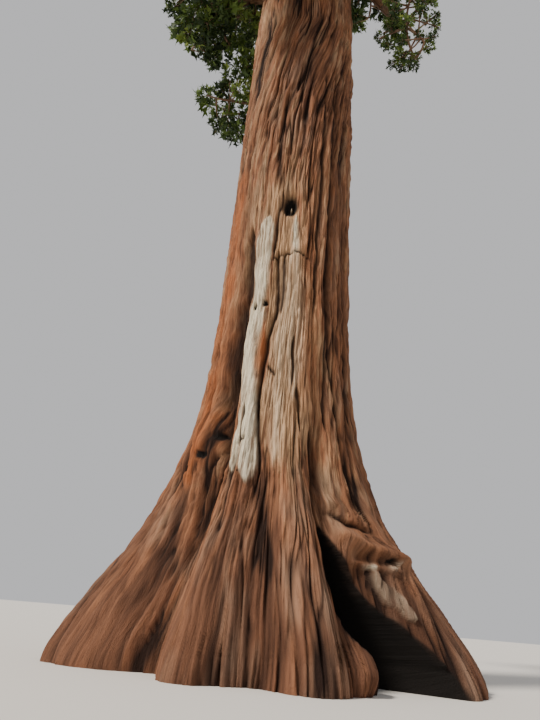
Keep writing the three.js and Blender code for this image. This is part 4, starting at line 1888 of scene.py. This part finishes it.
@dataclass
class Boughs:
    """The main boughs: tapering limbs with bark relief and a collar where they leave the trunk."""

    sides: int = 18
    rings: tuple[int, int] = (9, 5)
    collar_growth: float = 0.45
    collar_length: float = 0.55
    relief: float = 0.07
    relief_width: float = 0.9
    relief_length: float = 6.0
    relief_seeds: tuple[int, int] = (31, 32)
    finer: float = 2.3
    finer_share: float = 0.5
    cavity_levels: tuple[float, float] = (0.25, 0.9)
    look: float = 0.01
    shape: TrunkShape = field(default_factory=TrunkShape)

    def shape_bough(self, limb: Limb) -> bpy.types.Object:
        """Builds one bough.

        Args:
            limb: The limb that it belongs to.

        Returns:
            Its piece.
        """
        piece = add_cage(f"bough_{limb.label}", self.sides, self.rings)
        level, share, on_axis = cage_places(piece)
        centre = limb.points(share)
        after, before = np.minimum(share + self.look, 1.0), np.maximum(share - self.look, 0.0)
        ahead = unit(limb.points(after) - limb.points(before))
        across = outward(limb.bearing + QUARTER_TURN)
        angle = np.arctan2(level[:, 1], level[:, 0])
        turned = np.stack((np.cos(angle), np.sin(angle)), axis=1)
        ring = turned[:, :1] * across + turned[:, 1:] * np.cross(ahead, across)

        from_axis = np.hypot(centre[:, 0], centre[:, 1]) - limb.root_radius
        from_bark = np.maximum(from_axis - self.shape.shaft(centre[:, 2]), 0.0)
        flare = self.collar_growth * np.exp(-from_bark / self.collar_length)
        spot = np.column_stack((turned / self.relief_width, share * self.relief_length)) + limb.bearing
        broad, fine = self.relief_seeds
        rough = Grain.at(spot, broad) + self.finer_share * Grain.at(spot * self.finer, fine)
        radius = (limb.root_radius + (limb.tip_radius - limb.root_radius) * share) * (1.0 + flare)
        radius = np.where(on_axis, 0.0, radius * (1.0 + self.relief * rough))
        move_vertices(piece, (centre + ring * radius[:, None]) * LIVING_METRE)
        # Painted shade in the low places of the bough's relief.
        set_mask(piece, Mask.CAVITY_SHADE, smooth_step(-rough, *self.cavity_levels))
        length = float(np.linalg.norm(limb.curve[-1] - limb.curve[0]))
        grain = np.column_stack((turned * limb.root_radius, share * length))
        set_grain(piece, grain + limb.bearing)
        piece.data.shade_smooth()
        return piece

    def build(self, limbs: list[Limb], finish: bpy.types.Material) -> None:
        """Builds every bough and joins them.

        Args:
            limbs: Every limb.
            finish: The boughs' material.
        """
        pieces = [self.shape_bough(limb) for limb in limbs]
        joined = join_pieces("boughs", pieces)
        joined.data.materials.append(finish)
        hand_over(joined, [f"bough_{limb.label}" for limb in limbs])


def tube(path: np.ndarray, radii: np.ndarray, sides: int) -> tuple[np.ndarray, np.ndarray]:
    """A closed round stick along a path.

    Args:
        path: The places along its middle.
        radii: Its radius at each of them.
        sides: How many sides it has.

    Returns:
        Its corners, and its triangles with their faces outward.
    """
    count = len(path)
    ahead = unit(np.gradient(path, axis=0))
    side = unit(np.cross(ahead, unit(ahead.mean(axis=0) @ TILTED)))
    upper = np.cross(ahead, side)
    angle = np.arange(sides) * 2.0 * math.pi / sides
    ring = np.cos(angle)[None, :, None] * side[:, None] + np.sin(angle)[None, :, None] * upper[:, None]
    places = (path[:, None] + ring * radii[:, None, None]).reshape(-1, 3)
    places = np.concatenate((places, path[:1], path[-1:]))
    j = np.arange(sides)
    after = (j + 1) % sides
    faces = []
    for i in range(count - 1):
        low, high = i * sides, (i + 1) * sides
        faces.append(np.stack((low + j, low + after, high + after), axis=1))
        faces.append(np.stack((low + j, high + after, high + j), axis=1))
    first, last = count * sides, count * sides + 1
    end = (count - 1) * sides
    faces.append(np.stack((np.full(sides, first), after, j), axis=1))
    faces.append(np.stack((np.full(sides, last), end + j, end + after), axis=1))
    return places, np.concatenate(faces)


@dataclass(frozen=True)
class SprayForm:
    """A forked spray, a few faces round a raised middle: its outline by shares of its length."""

    outline: tuple[tuple[float, float], ...] = (
        (0.0, 0.0),
        (0.4, -0.08),
        (0.66, -0.36),
        (0.64, -0.07),
        (1.0, 0.03),
        (0.58, 0.1),
        (0.46, 0.38),
    )
    middle: float = 0.5
    rise: float = 0.07
    droop: float = 0.2

    def shapes(
        self, roots: np.ndarray, along: np.ndarray, face: np.ndarray, lengths: np.ndarray
    ) -> tuple[np.ndarray, np.ndarray]:
        """Sprays, one to a row.

        Args:
            roots: Where each starts.
            along: The unit direction it grows in.
            face: The unit direction its upper side faces.
            lengths: Its length.

        Returns:
            The corners of all of them and their triangles.
        """
        side = np.cross(face, along)
        size = lengths[:, None]
        rim = [
            roots + along * size * u + side * size * v - face * size * (self.droop * (u * u + v * v))
            for u, v in self.outline
        ]
        raised = self.rise - self.droop * self.middle**2
        middle = roots + along * size * self.middle + face * size * raised
        places = np.stack([*rim, middle], axis=1)
        count = len(self.outline)
        i = np.arange(count)
        one = np.stack((i, (i + 1) % count, np.full(count, count)), axis=1)
        faces = one[None] + (np.arange(len(roots)) * (count + 1))[:, None, None]
        return places.reshape(-1, 3), faces.reshape(-1, 3)


@dataclass(frozen=True)
class Growth:
    """How thickly a mass is grown: its branches, its tufts of sprays and the sprays in each."""

    branches: int = 9
    tufts: int = 62
    tuft_radius: float = 0.86
    sprays: int = 67
    spray_share: float = 0.58
    inner_share: float = 0.2
    reach: float = 0.98
    between_lobes: float = 0.84
    side_twigs: int = 3


@dataclass
class Tier:
    """A group of masses, whose twigs make one piece and whose sprays make another."""

    name: str
    growth: Growth
    nodes: list[str] = field(default_factory=list)
    wood: GrownMesh = field(default_factory=GrownMesh)
    leaves: GrownMesh = field(default_factory=GrownMesh)

    def build(self, twig_finish: bpy.types.Material, greens: list[bpy.types.Material]) -> None:
        """Makes the two pieces and hands them over.

        Args:
            twig_finish: The twigs' material.
            greens: The sprays' materials, by number.
        """
        twigs = self.wood.build(f"{self.name}_twigs", [twig_finish])
        twigs.data.shade_smooth()
        hand_over(twigs, self.nodes)
        hand_over(self.leaves.build(f"{self.name}_sprays", greens), self.nodes)


@dataclass
class MassGrower:
    """Grows one mass by the source's rule, carried on to finer twigs and tufts of sprays."""

    space: MassSpace
    start: np.ndarray
    start_radius: float
    seed: int
    limb_points: np.ndarray
    limb_radii: np.ndarray
    shape: TrunkShape
    tier: Tier
    form: SprayForm = SprayForm()

    MARGIN = 0.05
    TIP_MARGIN = 0.02
    BOX_MARGIN = 0.06
    TURN_NUDGE = 0.3

    STEM_SIDES = 8
    STEM_PLACES = 6
    STEM_SAG = 0.2
    STEM_TIP_SHARE = 0.55
    BRANCH_SIDES = 6
    BRANCH_PLACES = 6
    BRANCH_SHARE = 0.42
    BRANCH_TIP_RADIUS = 0.05
    BRANCH_REACH = 0.72
    BRANCH_SAG = 0.12
    BRANCH_WANDER = 0.08

    LOBE_SHARPNESS = 5.0
    UNDERSIDE = 0.08
    TUFT_SIZES = (0.72, 1.16)
    INNER_DEPTHS = (1.9, 3.4)
    OUTER_DEPTHS = (0.9, 1.3)
    LEAST_DEPTH = 0.12
    LEAST_LENGTH = 0.9

    TWIG_RADII = (0.055, 0.045, 0.035, 0.022)
    TWIG_SIDES = 4
    TWIG_WANDER = 0.07
    TWIG_SAG = 0.08
    SIDE_TWIG_RADII = (0.02, 0.016, 0.008)
    SIDE_TWIG_SIDES = 3
    SIDE_TWIG_SHARES = (0.3, 0.72)

    OUTWARD_PULL = 0.35
    AWAY_PULL = 0.8
    SLANT_PULL = 0.5
    UPWARD_PULL = 0.2
    ROOT_DEPTHS = (0.18, 0.6)
    SHORT_SHOOT = 0.74
    LONG_SHOOT = 0.9
    LONG_RARITY = 4
    MOST_ROLL = 1.3
    # Painted light and shade: sprays facing up and high in their mass get lighter greens, the rest is
    # random tone.
    LIGHT_ON_TOP = 0.5
    LIGHT_HIGH_UP = 0.25
    LIGHT_BY_TUFT = 0.3
    LIGHT_BY_SPRAY = 0.22
    GREEN_LEVELS = (-0.55, -0.12, 0.34, 0.8)

    def __post_init__(self) -> None:
        """Seeds its own numbers."""
        self.chance = np.random.default_rng(self.seed)

    def clear(self, places: np.ndarray, margin: float) -> np.ndarray:
        """Tells which places touch neither the trunk nor another limb.

        Args:
            places: The places, one to a row.
            margin: How far from the trunk they have to be.

        Returns:
            True for each place that is clear.
        """
        from_axis = np.hypot(places[:, 0], places[:, 1])
        bearing = np.degrees(np.arctan2(places[:, 0], -places[:, 1]))
        bark = self.shape.radius(bearing, places[:, 2]) + margin
        free = (from_axis > bark) | (places[:, 2] > TRUNK_TOP)
        off = np.linalg.norm(places[:, None] - self.limb_points[None], axis=2)
        return free & (off > self.limb_radii + self.MARGIN).all(axis=1)

    def allowed(self, tips: np.ndarray) -> np.ndarray:
        """Tells which tips may stay.

        Args:
            tips: The places of the tips, one to a row.

        Returns:
            True for each tip in the mass's space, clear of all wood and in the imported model's box.
        """
        low, high = np.array(CAD_BOX) / LIVING_METRE
        boxed = ((tips > low - self.BOX_MARGIN) & (tips < high + self.BOX_MARGIN)).all(axis=1)
        held = self.space.holds(tips, self.tier.growth.reach)
        return boxed & held & self.clear(tips, self.TIP_MARGIN)

    def spread(self, count: int) -> np.ndarray:
        """Directions spread evenly over a ball, each a little nudged.

        Args:
            count: How many.

        Returns:
            One unit direction to a row.
        """
        index = np.arange(count)
        z = 1.0 - (2.0 * index + 1.0) / count
        nudge = self.chance.uniform(-self.TURN_NUDGE, self.TURN_NUDGE, count)
        turn = np.radians(index * GOLDEN_ANGLE) + nudge
        flat = np.sqrt(1.0 - z * z)
        return np.stack((np.cos(turn) * flat, np.sin(turn) * flat, z), axis=1)

    def grow(self) -> None:
        """Grows the mass's wood and leaves."""
        centre = self.space.centre
        middle = self.start + (centre - self.start) * 0.5 - UP * self.STEM_SAG
        shares = np.linspace(0.0, 1.0, self.STEM_PLACES)
        stem = bend(np.array((self.start, middle, centre)), shares)
        tip_radius = self.start_radius * self.STEM_TIP_SHARE
        radii = np.linspace(self.start_radius, tip_radius, self.STEM_PLACES)
        self.tier.wood.add(*tube(stem, radii, self.STEM_SIDES))

        headings = self.spread(self.tier.growth.branches)
        branches = [self.branch(way) for way in self.space.rims(headings)]
        root_radius = self.start_radius * self.BRANCH_SHARE
        for path in branches:
            radii = np.linspace(root_radius, self.BRANCH_TIP_RADIUS, self.BRANCH_PLACES)
            self.tier.wood.add(*tube(path, radii, self.BRANCH_SIDES))

        centres, radii = self.tuft_places(headings)
        joints = np.concatenate([path[1:] for path in branches])
        for place, radius in zip(centres, radii):
            near = joints[np.argmin(np.linalg.norm(joints - place, axis=1))]
            self.twig(near, place, radius)
        self.sprays(centres, radii)

    def branch(self, way: np.ndarray) -> np.ndarray:
        """A branch from the mass's middle most of the way to its rim.

        Args:
            way: The whole way from the middle to the rim.

        Returns:
            The places along it.
        """
        centre = self.space.centre
        length = np.linalg.norm(way)
        middle = centre + way * (self.BRANCH_REACH / 2.0) - UP * (self.BRANCH_SAG * length)
        middle = middle + self.chance.normal(0, self.BRANCH_WANDER, 3) * length
        controls = np.array((centre, middle, centre + way * self.BRANCH_REACH))
        return bend(controls, np.linspace(0.0, 1.0, self.BRANCH_PLACES))

    def tuft_places(self, headings: np.ndarray) -> tuple[np.ndarray, np.ndarray]:
        """Where the tufts stand and how large they are.

        Args:
            headings: The branches' directions, round whose ends the foliage billows out.

        Returns:
            Their middles and their radii.
        """
        g = self.tier.growth
        directions = self.spread(g.tufts)
        lobe = np.exp(self.LOBE_SHARPNESS * (directions @ headings.T - 1.0)).max(axis=1)
        swell = g.between_lobes + (1.0 - g.between_lobes) * lobe
        swell = swell * (1.0 - self.UNDERSIDE * np.clip(-directions[:, 2], 0.0, 1.0))
        ways = self.space.rims(directions) * (g.reach * swell)[:, None]
        length = np.linalg.norm(ways, axis=1)
        radii = g.tuft_radius * self.chance.uniform(*self.TUFT_SIZES, g.tufts)
        inner = self.chance.random(g.tufts) < g.inner_share
        deep = self.chance.uniform(*self.INNER_DEPTHS, g.tufts)
        shallow = self.chance.uniform(*self.OUTER_DEPTHS, g.tufts)
        back = radii * np.where(inner, deep, shallow)
        share = np.clip(1.0 - back / length, self.LEAST_DEPTH, 1.0)
        centres = self.space.centre + ways * share[:, None]
        fits = (length > radii * self.LEAST_LENGTH) & self.clear(centres, 0.0)
        return centres[fits], radii[fits]

    def twig(self, root: np.ndarray, tip: np.ndarray, radius: float) -> None:
        """Grows a twig from a branch to a tuft, with side twigs inside the tuft.

        Args:
            root: Its place on the branch.
            tip: The tuft's middle.
            radius: The tuft's radius.
        """
        wood, count = self.tier.wood, self.tier.growth.side_twigs
        length = np.linalg.norm(tip - root)
        middle = root + (tip - root) * 0.5 + self.chance.normal(0, self.TWIG_WANDER, 3) * length
        middle = middle - UP * (self.TWIG_SAG * length)
        shares = np.linspace(0.0, 1.0, len(self.TWIG_RADII))
        path = bend(np.array((root, middle, tip)), shares)
        wood.add(*tube(path, np.array(self.TWIG_RADII), self.TWIG_SIDES))
        near, far = self.SIDE_TWIG_SHARES
        for heading in unit(self.chance.normal(0, 1, (count, 3)) + unit(tip - self.space.centre)):
            elbow, end = path[-1] + heading * radius * near, path[-1] + heading * radius * far
            if self.allowed(end[None])[0]:
                side = np.stack((path[-2], elbow, end))
                wood.add(*tube(side, np.array(self.SIDE_TWIG_RADII), self.SIDE_TWIG_SIDES))

    def sprays(self, centres: np.ndarray, radii: np.ndarray) -> None:
        """Covers every tuft with sprays that lap over each other.

        Args:
            centres, radii: The tufts' middles and radii.
        """
        if not len(centres):
            return
        chance = self.chance
        count = (len(centres), self.tier.growth.sprays)
        from_middle = unit(centres - self.space.centre)[:, None]
        away = unit(chance.normal(0, 1, (*count, 3)) + self.OUTWARD_PULL * from_middle)
        slant = unit(np.cross(away, chance.normal(0, 1, (*count, 3))))
        along = unit(self.AWAY_PULL * away + self.SLANT_PULL * slant + UP * self.UPWARD_PULL)
        depth = radii[:, None, None] * chance.uniform(*self.ROOT_DEPTHS, (*count, 1))
        roots = centres[:, None] + away * depth
        lengths = self.SHORT_SHOOT + self.LONG_SHOOT * chance.random(count) ** self.LONG_RARITY
        lengths = radii[:, None] * self.tier.growth.spray_share * lengths
        face = unit(away - np.sum(away * along, axis=-1, keepdims=True) * along)
        roll = chance.uniform(-self.MOST_ROLL, self.MOST_ROLL, (*count, 1))
        face = face * np.cos(roll) + np.cross(along, face) * np.sin(roll)
        tips = roots + along * lengths[..., None]

        # Painted light and shade: lighter greens for sprays facing up and high in their mass, with
        # random tone by tuft and spray.
        light = self.LIGHT_ON_TOP * away[..., 2] + self.LIGHT_HIGH_UP * from_middle[..., 2]
        light = light + self.LIGHT_BY_TUFT * chance.normal(0, 1, (count[0], 1))
        light = light + self.LIGHT_BY_SPRAY * chance.normal(0, 1, count)
        roots, along, face, tips = [part.reshape(-1, 3) for part in (roots, along, face, tips)]
        keep = self.allowed(tips) & self.clear(roots, 0.0)
        green = np.digitize(light.ravel()[keep], self.GREEN_LEVELS)
        shapes = self.form.shapes(roots[keep], along[keep], face[keep], lengths.ravel()[keep])
        self.tier.leaves.add(*shapes, np.repeat(green, len(self.form.outline)))


@dataclass
class Foliage:
    """Every mass of foliage, grown and gathered into tiers by height."""

    seed: int = 4000
    tiers: int = 6
    usual: Growth = Growth()
    hanging: Growth = Growth(6, 44, 0.46, 64, 0.6, 0.2, 0.86, 1.0, 5)
    leader_places: int = 5
    leader_sides: int = 8
    leader_tip_radius: float = 0.02
    shape: TrunkShape = field(default_factory=TrunkShape)

    def build(self, limbs: list[Limb], top: MassSpace) -> None:
        """Grows every mass and hands the pieces over.

        Args:
            limbs: Every limb, with the hanging one last.
            top: The space of the top's foliage.
        """
        greens = [green.value.material() for green in Green]
        twig_finish = TwigFinish("twig_bark").material()
        spiral = limbs[:-1]
        size = math.ceil(len(spiral) / self.tiers)
        for number, first in enumerate(range(0, len(spiral), size), 1):
            tier = Tier(f"tier_{number}", self.usual)
            for limb in spiral[first : first + size]:
                self.grow_limb(limb, limbs, tier)
            if first + size >= len(spiral):
                self.grow_top(top, limbs, tier)
            tier.build(twig_finish, greens)
        tier = Tier("hanging_bough", self.hanging)
        self.grow_limb(limbs[-1], limbs, tier)
        tier.build(twig_finish, greens)

    def grow_limb(self, limb: Limb, limbs: list[Limb], tier: Tier) -> None:
        """Grows the mass at the end of one bough."""
        others = [other for other in limbs if other is not limb]
        self.grow_mass(limb.space, limb.curve[-1], limb.tip_radius, int(limb.label), others, tier)

    def grow_top(self, top: MassSpace, limbs: list[Limb], tier: Tier) -> None:
        """Grows the leading shoot and the foliage round it.

        Args:
            top: The space of the top's foliage.
            limbs: Every limb.
            tier: The group that it goes to.
        """
        foot, tip = UP * TRUNK_TOP, UP * LIVING_HEIGHT
        leader = foot + (tip - foot) * np.linspace(0.0, 1.0, self.leader_places)[:, None]
        radii = np.linspace(TRUNK_TOP_RADIUS, self.leader_tip_radius, self.leader_places)
        tier.wood.add(*tube(leader, radii, self.leader_sides))
        self.grow_mass(top, foot, TRUNK_TOP_RADIUS, len(limbs), limbs, tier)

    def grow_mass(
        self,
        space: MassSpace,
        start: np.ndarray,
        start_radius: float,
        number: int,
        others: list[Limb],
        tier: Tier,
    ) -> None:
        """Grows one mass, clear of the trunk and of other boughs.

        Args:
            space: The mass's space.
            start, start_radius: Where its stem starts, and how thick it is there.
            number: Tells the mass's seed from the others'.
            others: The limbs that it stays clear of.
            tier: The group that it goes to.
        """
        points, radii = [np.concatenate(part) for part in zip(*[other.steps() for other in others])]
        seed = self.seed + number
        MassGrower(space, start, start_radius, seed, points, radii, self.shape, tier).grow()
        tier.nodes.append(space.name)


# Studio


@dataclass
class Studio:
    """A pale floor, soft light and a camera that looks up the trunk from near the ground."""

    floor_radius: float = 150.0
    floor_sides: int = 128
    floor_colour: tuple = srgb(206, 202, 196)
    floor_roughness: float = 0.95
    camera_place: tuple[float, float, float] = (0.0, -10.0, 0.79)
    yaw: float = 1.27
    tilt: float = 115.46
    roll: float = 4.8
    lens: float = 27.05
    sensor: float = 36.0
    view_distance: float = 500.0
    sun_strength: float = 4.6
    sun_softness: float = 10.0
    sun_height: float = 48.0
    sun_bearing: float = -58.0
    sun_colour: tuple = (1.0, 0.93, 0.83)
    sky_colour: tuple = (0.92, 0.92, 0.94, 1.0)
    sky_strength: float = 0.66

    def add_floor(self) -> None:
        """Lays the floor."""
        bpy.ops.object.select_all(action="DESELECT")
        bpy.ops.mesh.primitive_circle_add(
            vertices=self.floor_sides, radius=self.floor_radius, fill_type="NGON"
        )
        floor = bpy.context.active_object
        floor.name = "floor"
        g = Graph("pale_floor")
        g.surface({"Base Color": self.floor_colour, "Roughness": self.floor_roughness})
        floor.data.materials.append(g.material)

    def add_light(self) -> None:
        """Hangs one broad sun and fills the rest with pale sky."""
        sun_data = bpy.data.lights.new("sun", "SUN")
        sun_data.energy = self.sun_strength
        sun_data.angle = math.radians(self.sun_softness)
        sun_data.color = self.sun_colour
        sun = bpy.data.objects.new("sun", sun_data)
        height = math.radians(self.sun_height)
        towards = Vector(outward(self.sun_bearing) * math.cos(height) + UP * math.sin(height))
        sun.rotation_euler = towards.to_track_quat("Z", "Y").to_euler()
        bpy.context.scene.collection.objects.link(sun)
        world = bpy.data.worlds.new("sky")
        world.use_nodes = True
        background = world.node_tree.nodes["Background"]
        background.inputs["Color"].default_value = self.sky_colour
        background.inputs["Strength"].default_value = self.sky_strength
        bpy.context.scene.world = world

    def add_camera(self) -> None:
        """Sets the camera at the photograph's viewing angle."""
        data = bpy.data.cameras.new("camera")
        data.lens = self.lens
        data.sensor_width = self.sensor
        data.clip_end = self.view_distance
        camera = bpy.data.objects.new("camera", data)
        yaw = Matrix.Rotation(math.radians(self.yaw), 4, "Z")
        tilt = Matrix.Rotation(math.radians(self.tilt), 4, "X")
        roll = Matrix.Rotation(math.radians(self.roll), 4, "Z")
        camera.matrix_world = Matrix.Translation(self.camera_place) @ yaw @ tilt @ roll
        bpy.context.scene.collection.objects.link(camera)
        bpy.context.scene.camera = camera

    def build(self) -> None:
        """Sets up the studio."""
        self.add_floor()
        self.add_light()
        self.add_camera()


def main() -> None:
    """Builds the tree from the trunk out to the sprays, and the studio round it."""
    logging.basicConfig(level=logging.INFO, format="%(name)s: %(message)s")
    Studio().build()
    LOG.info("studio ready")
    Trunk().build(BarkKind.TRUNK.value.material())
    limbs, top = CrownLayout().build()
    Boughs().build(limbs, BarkKind.BOUGH.value.material())
    Foliage().build(limbs, top)


if __name__ == "__main__":
    main()
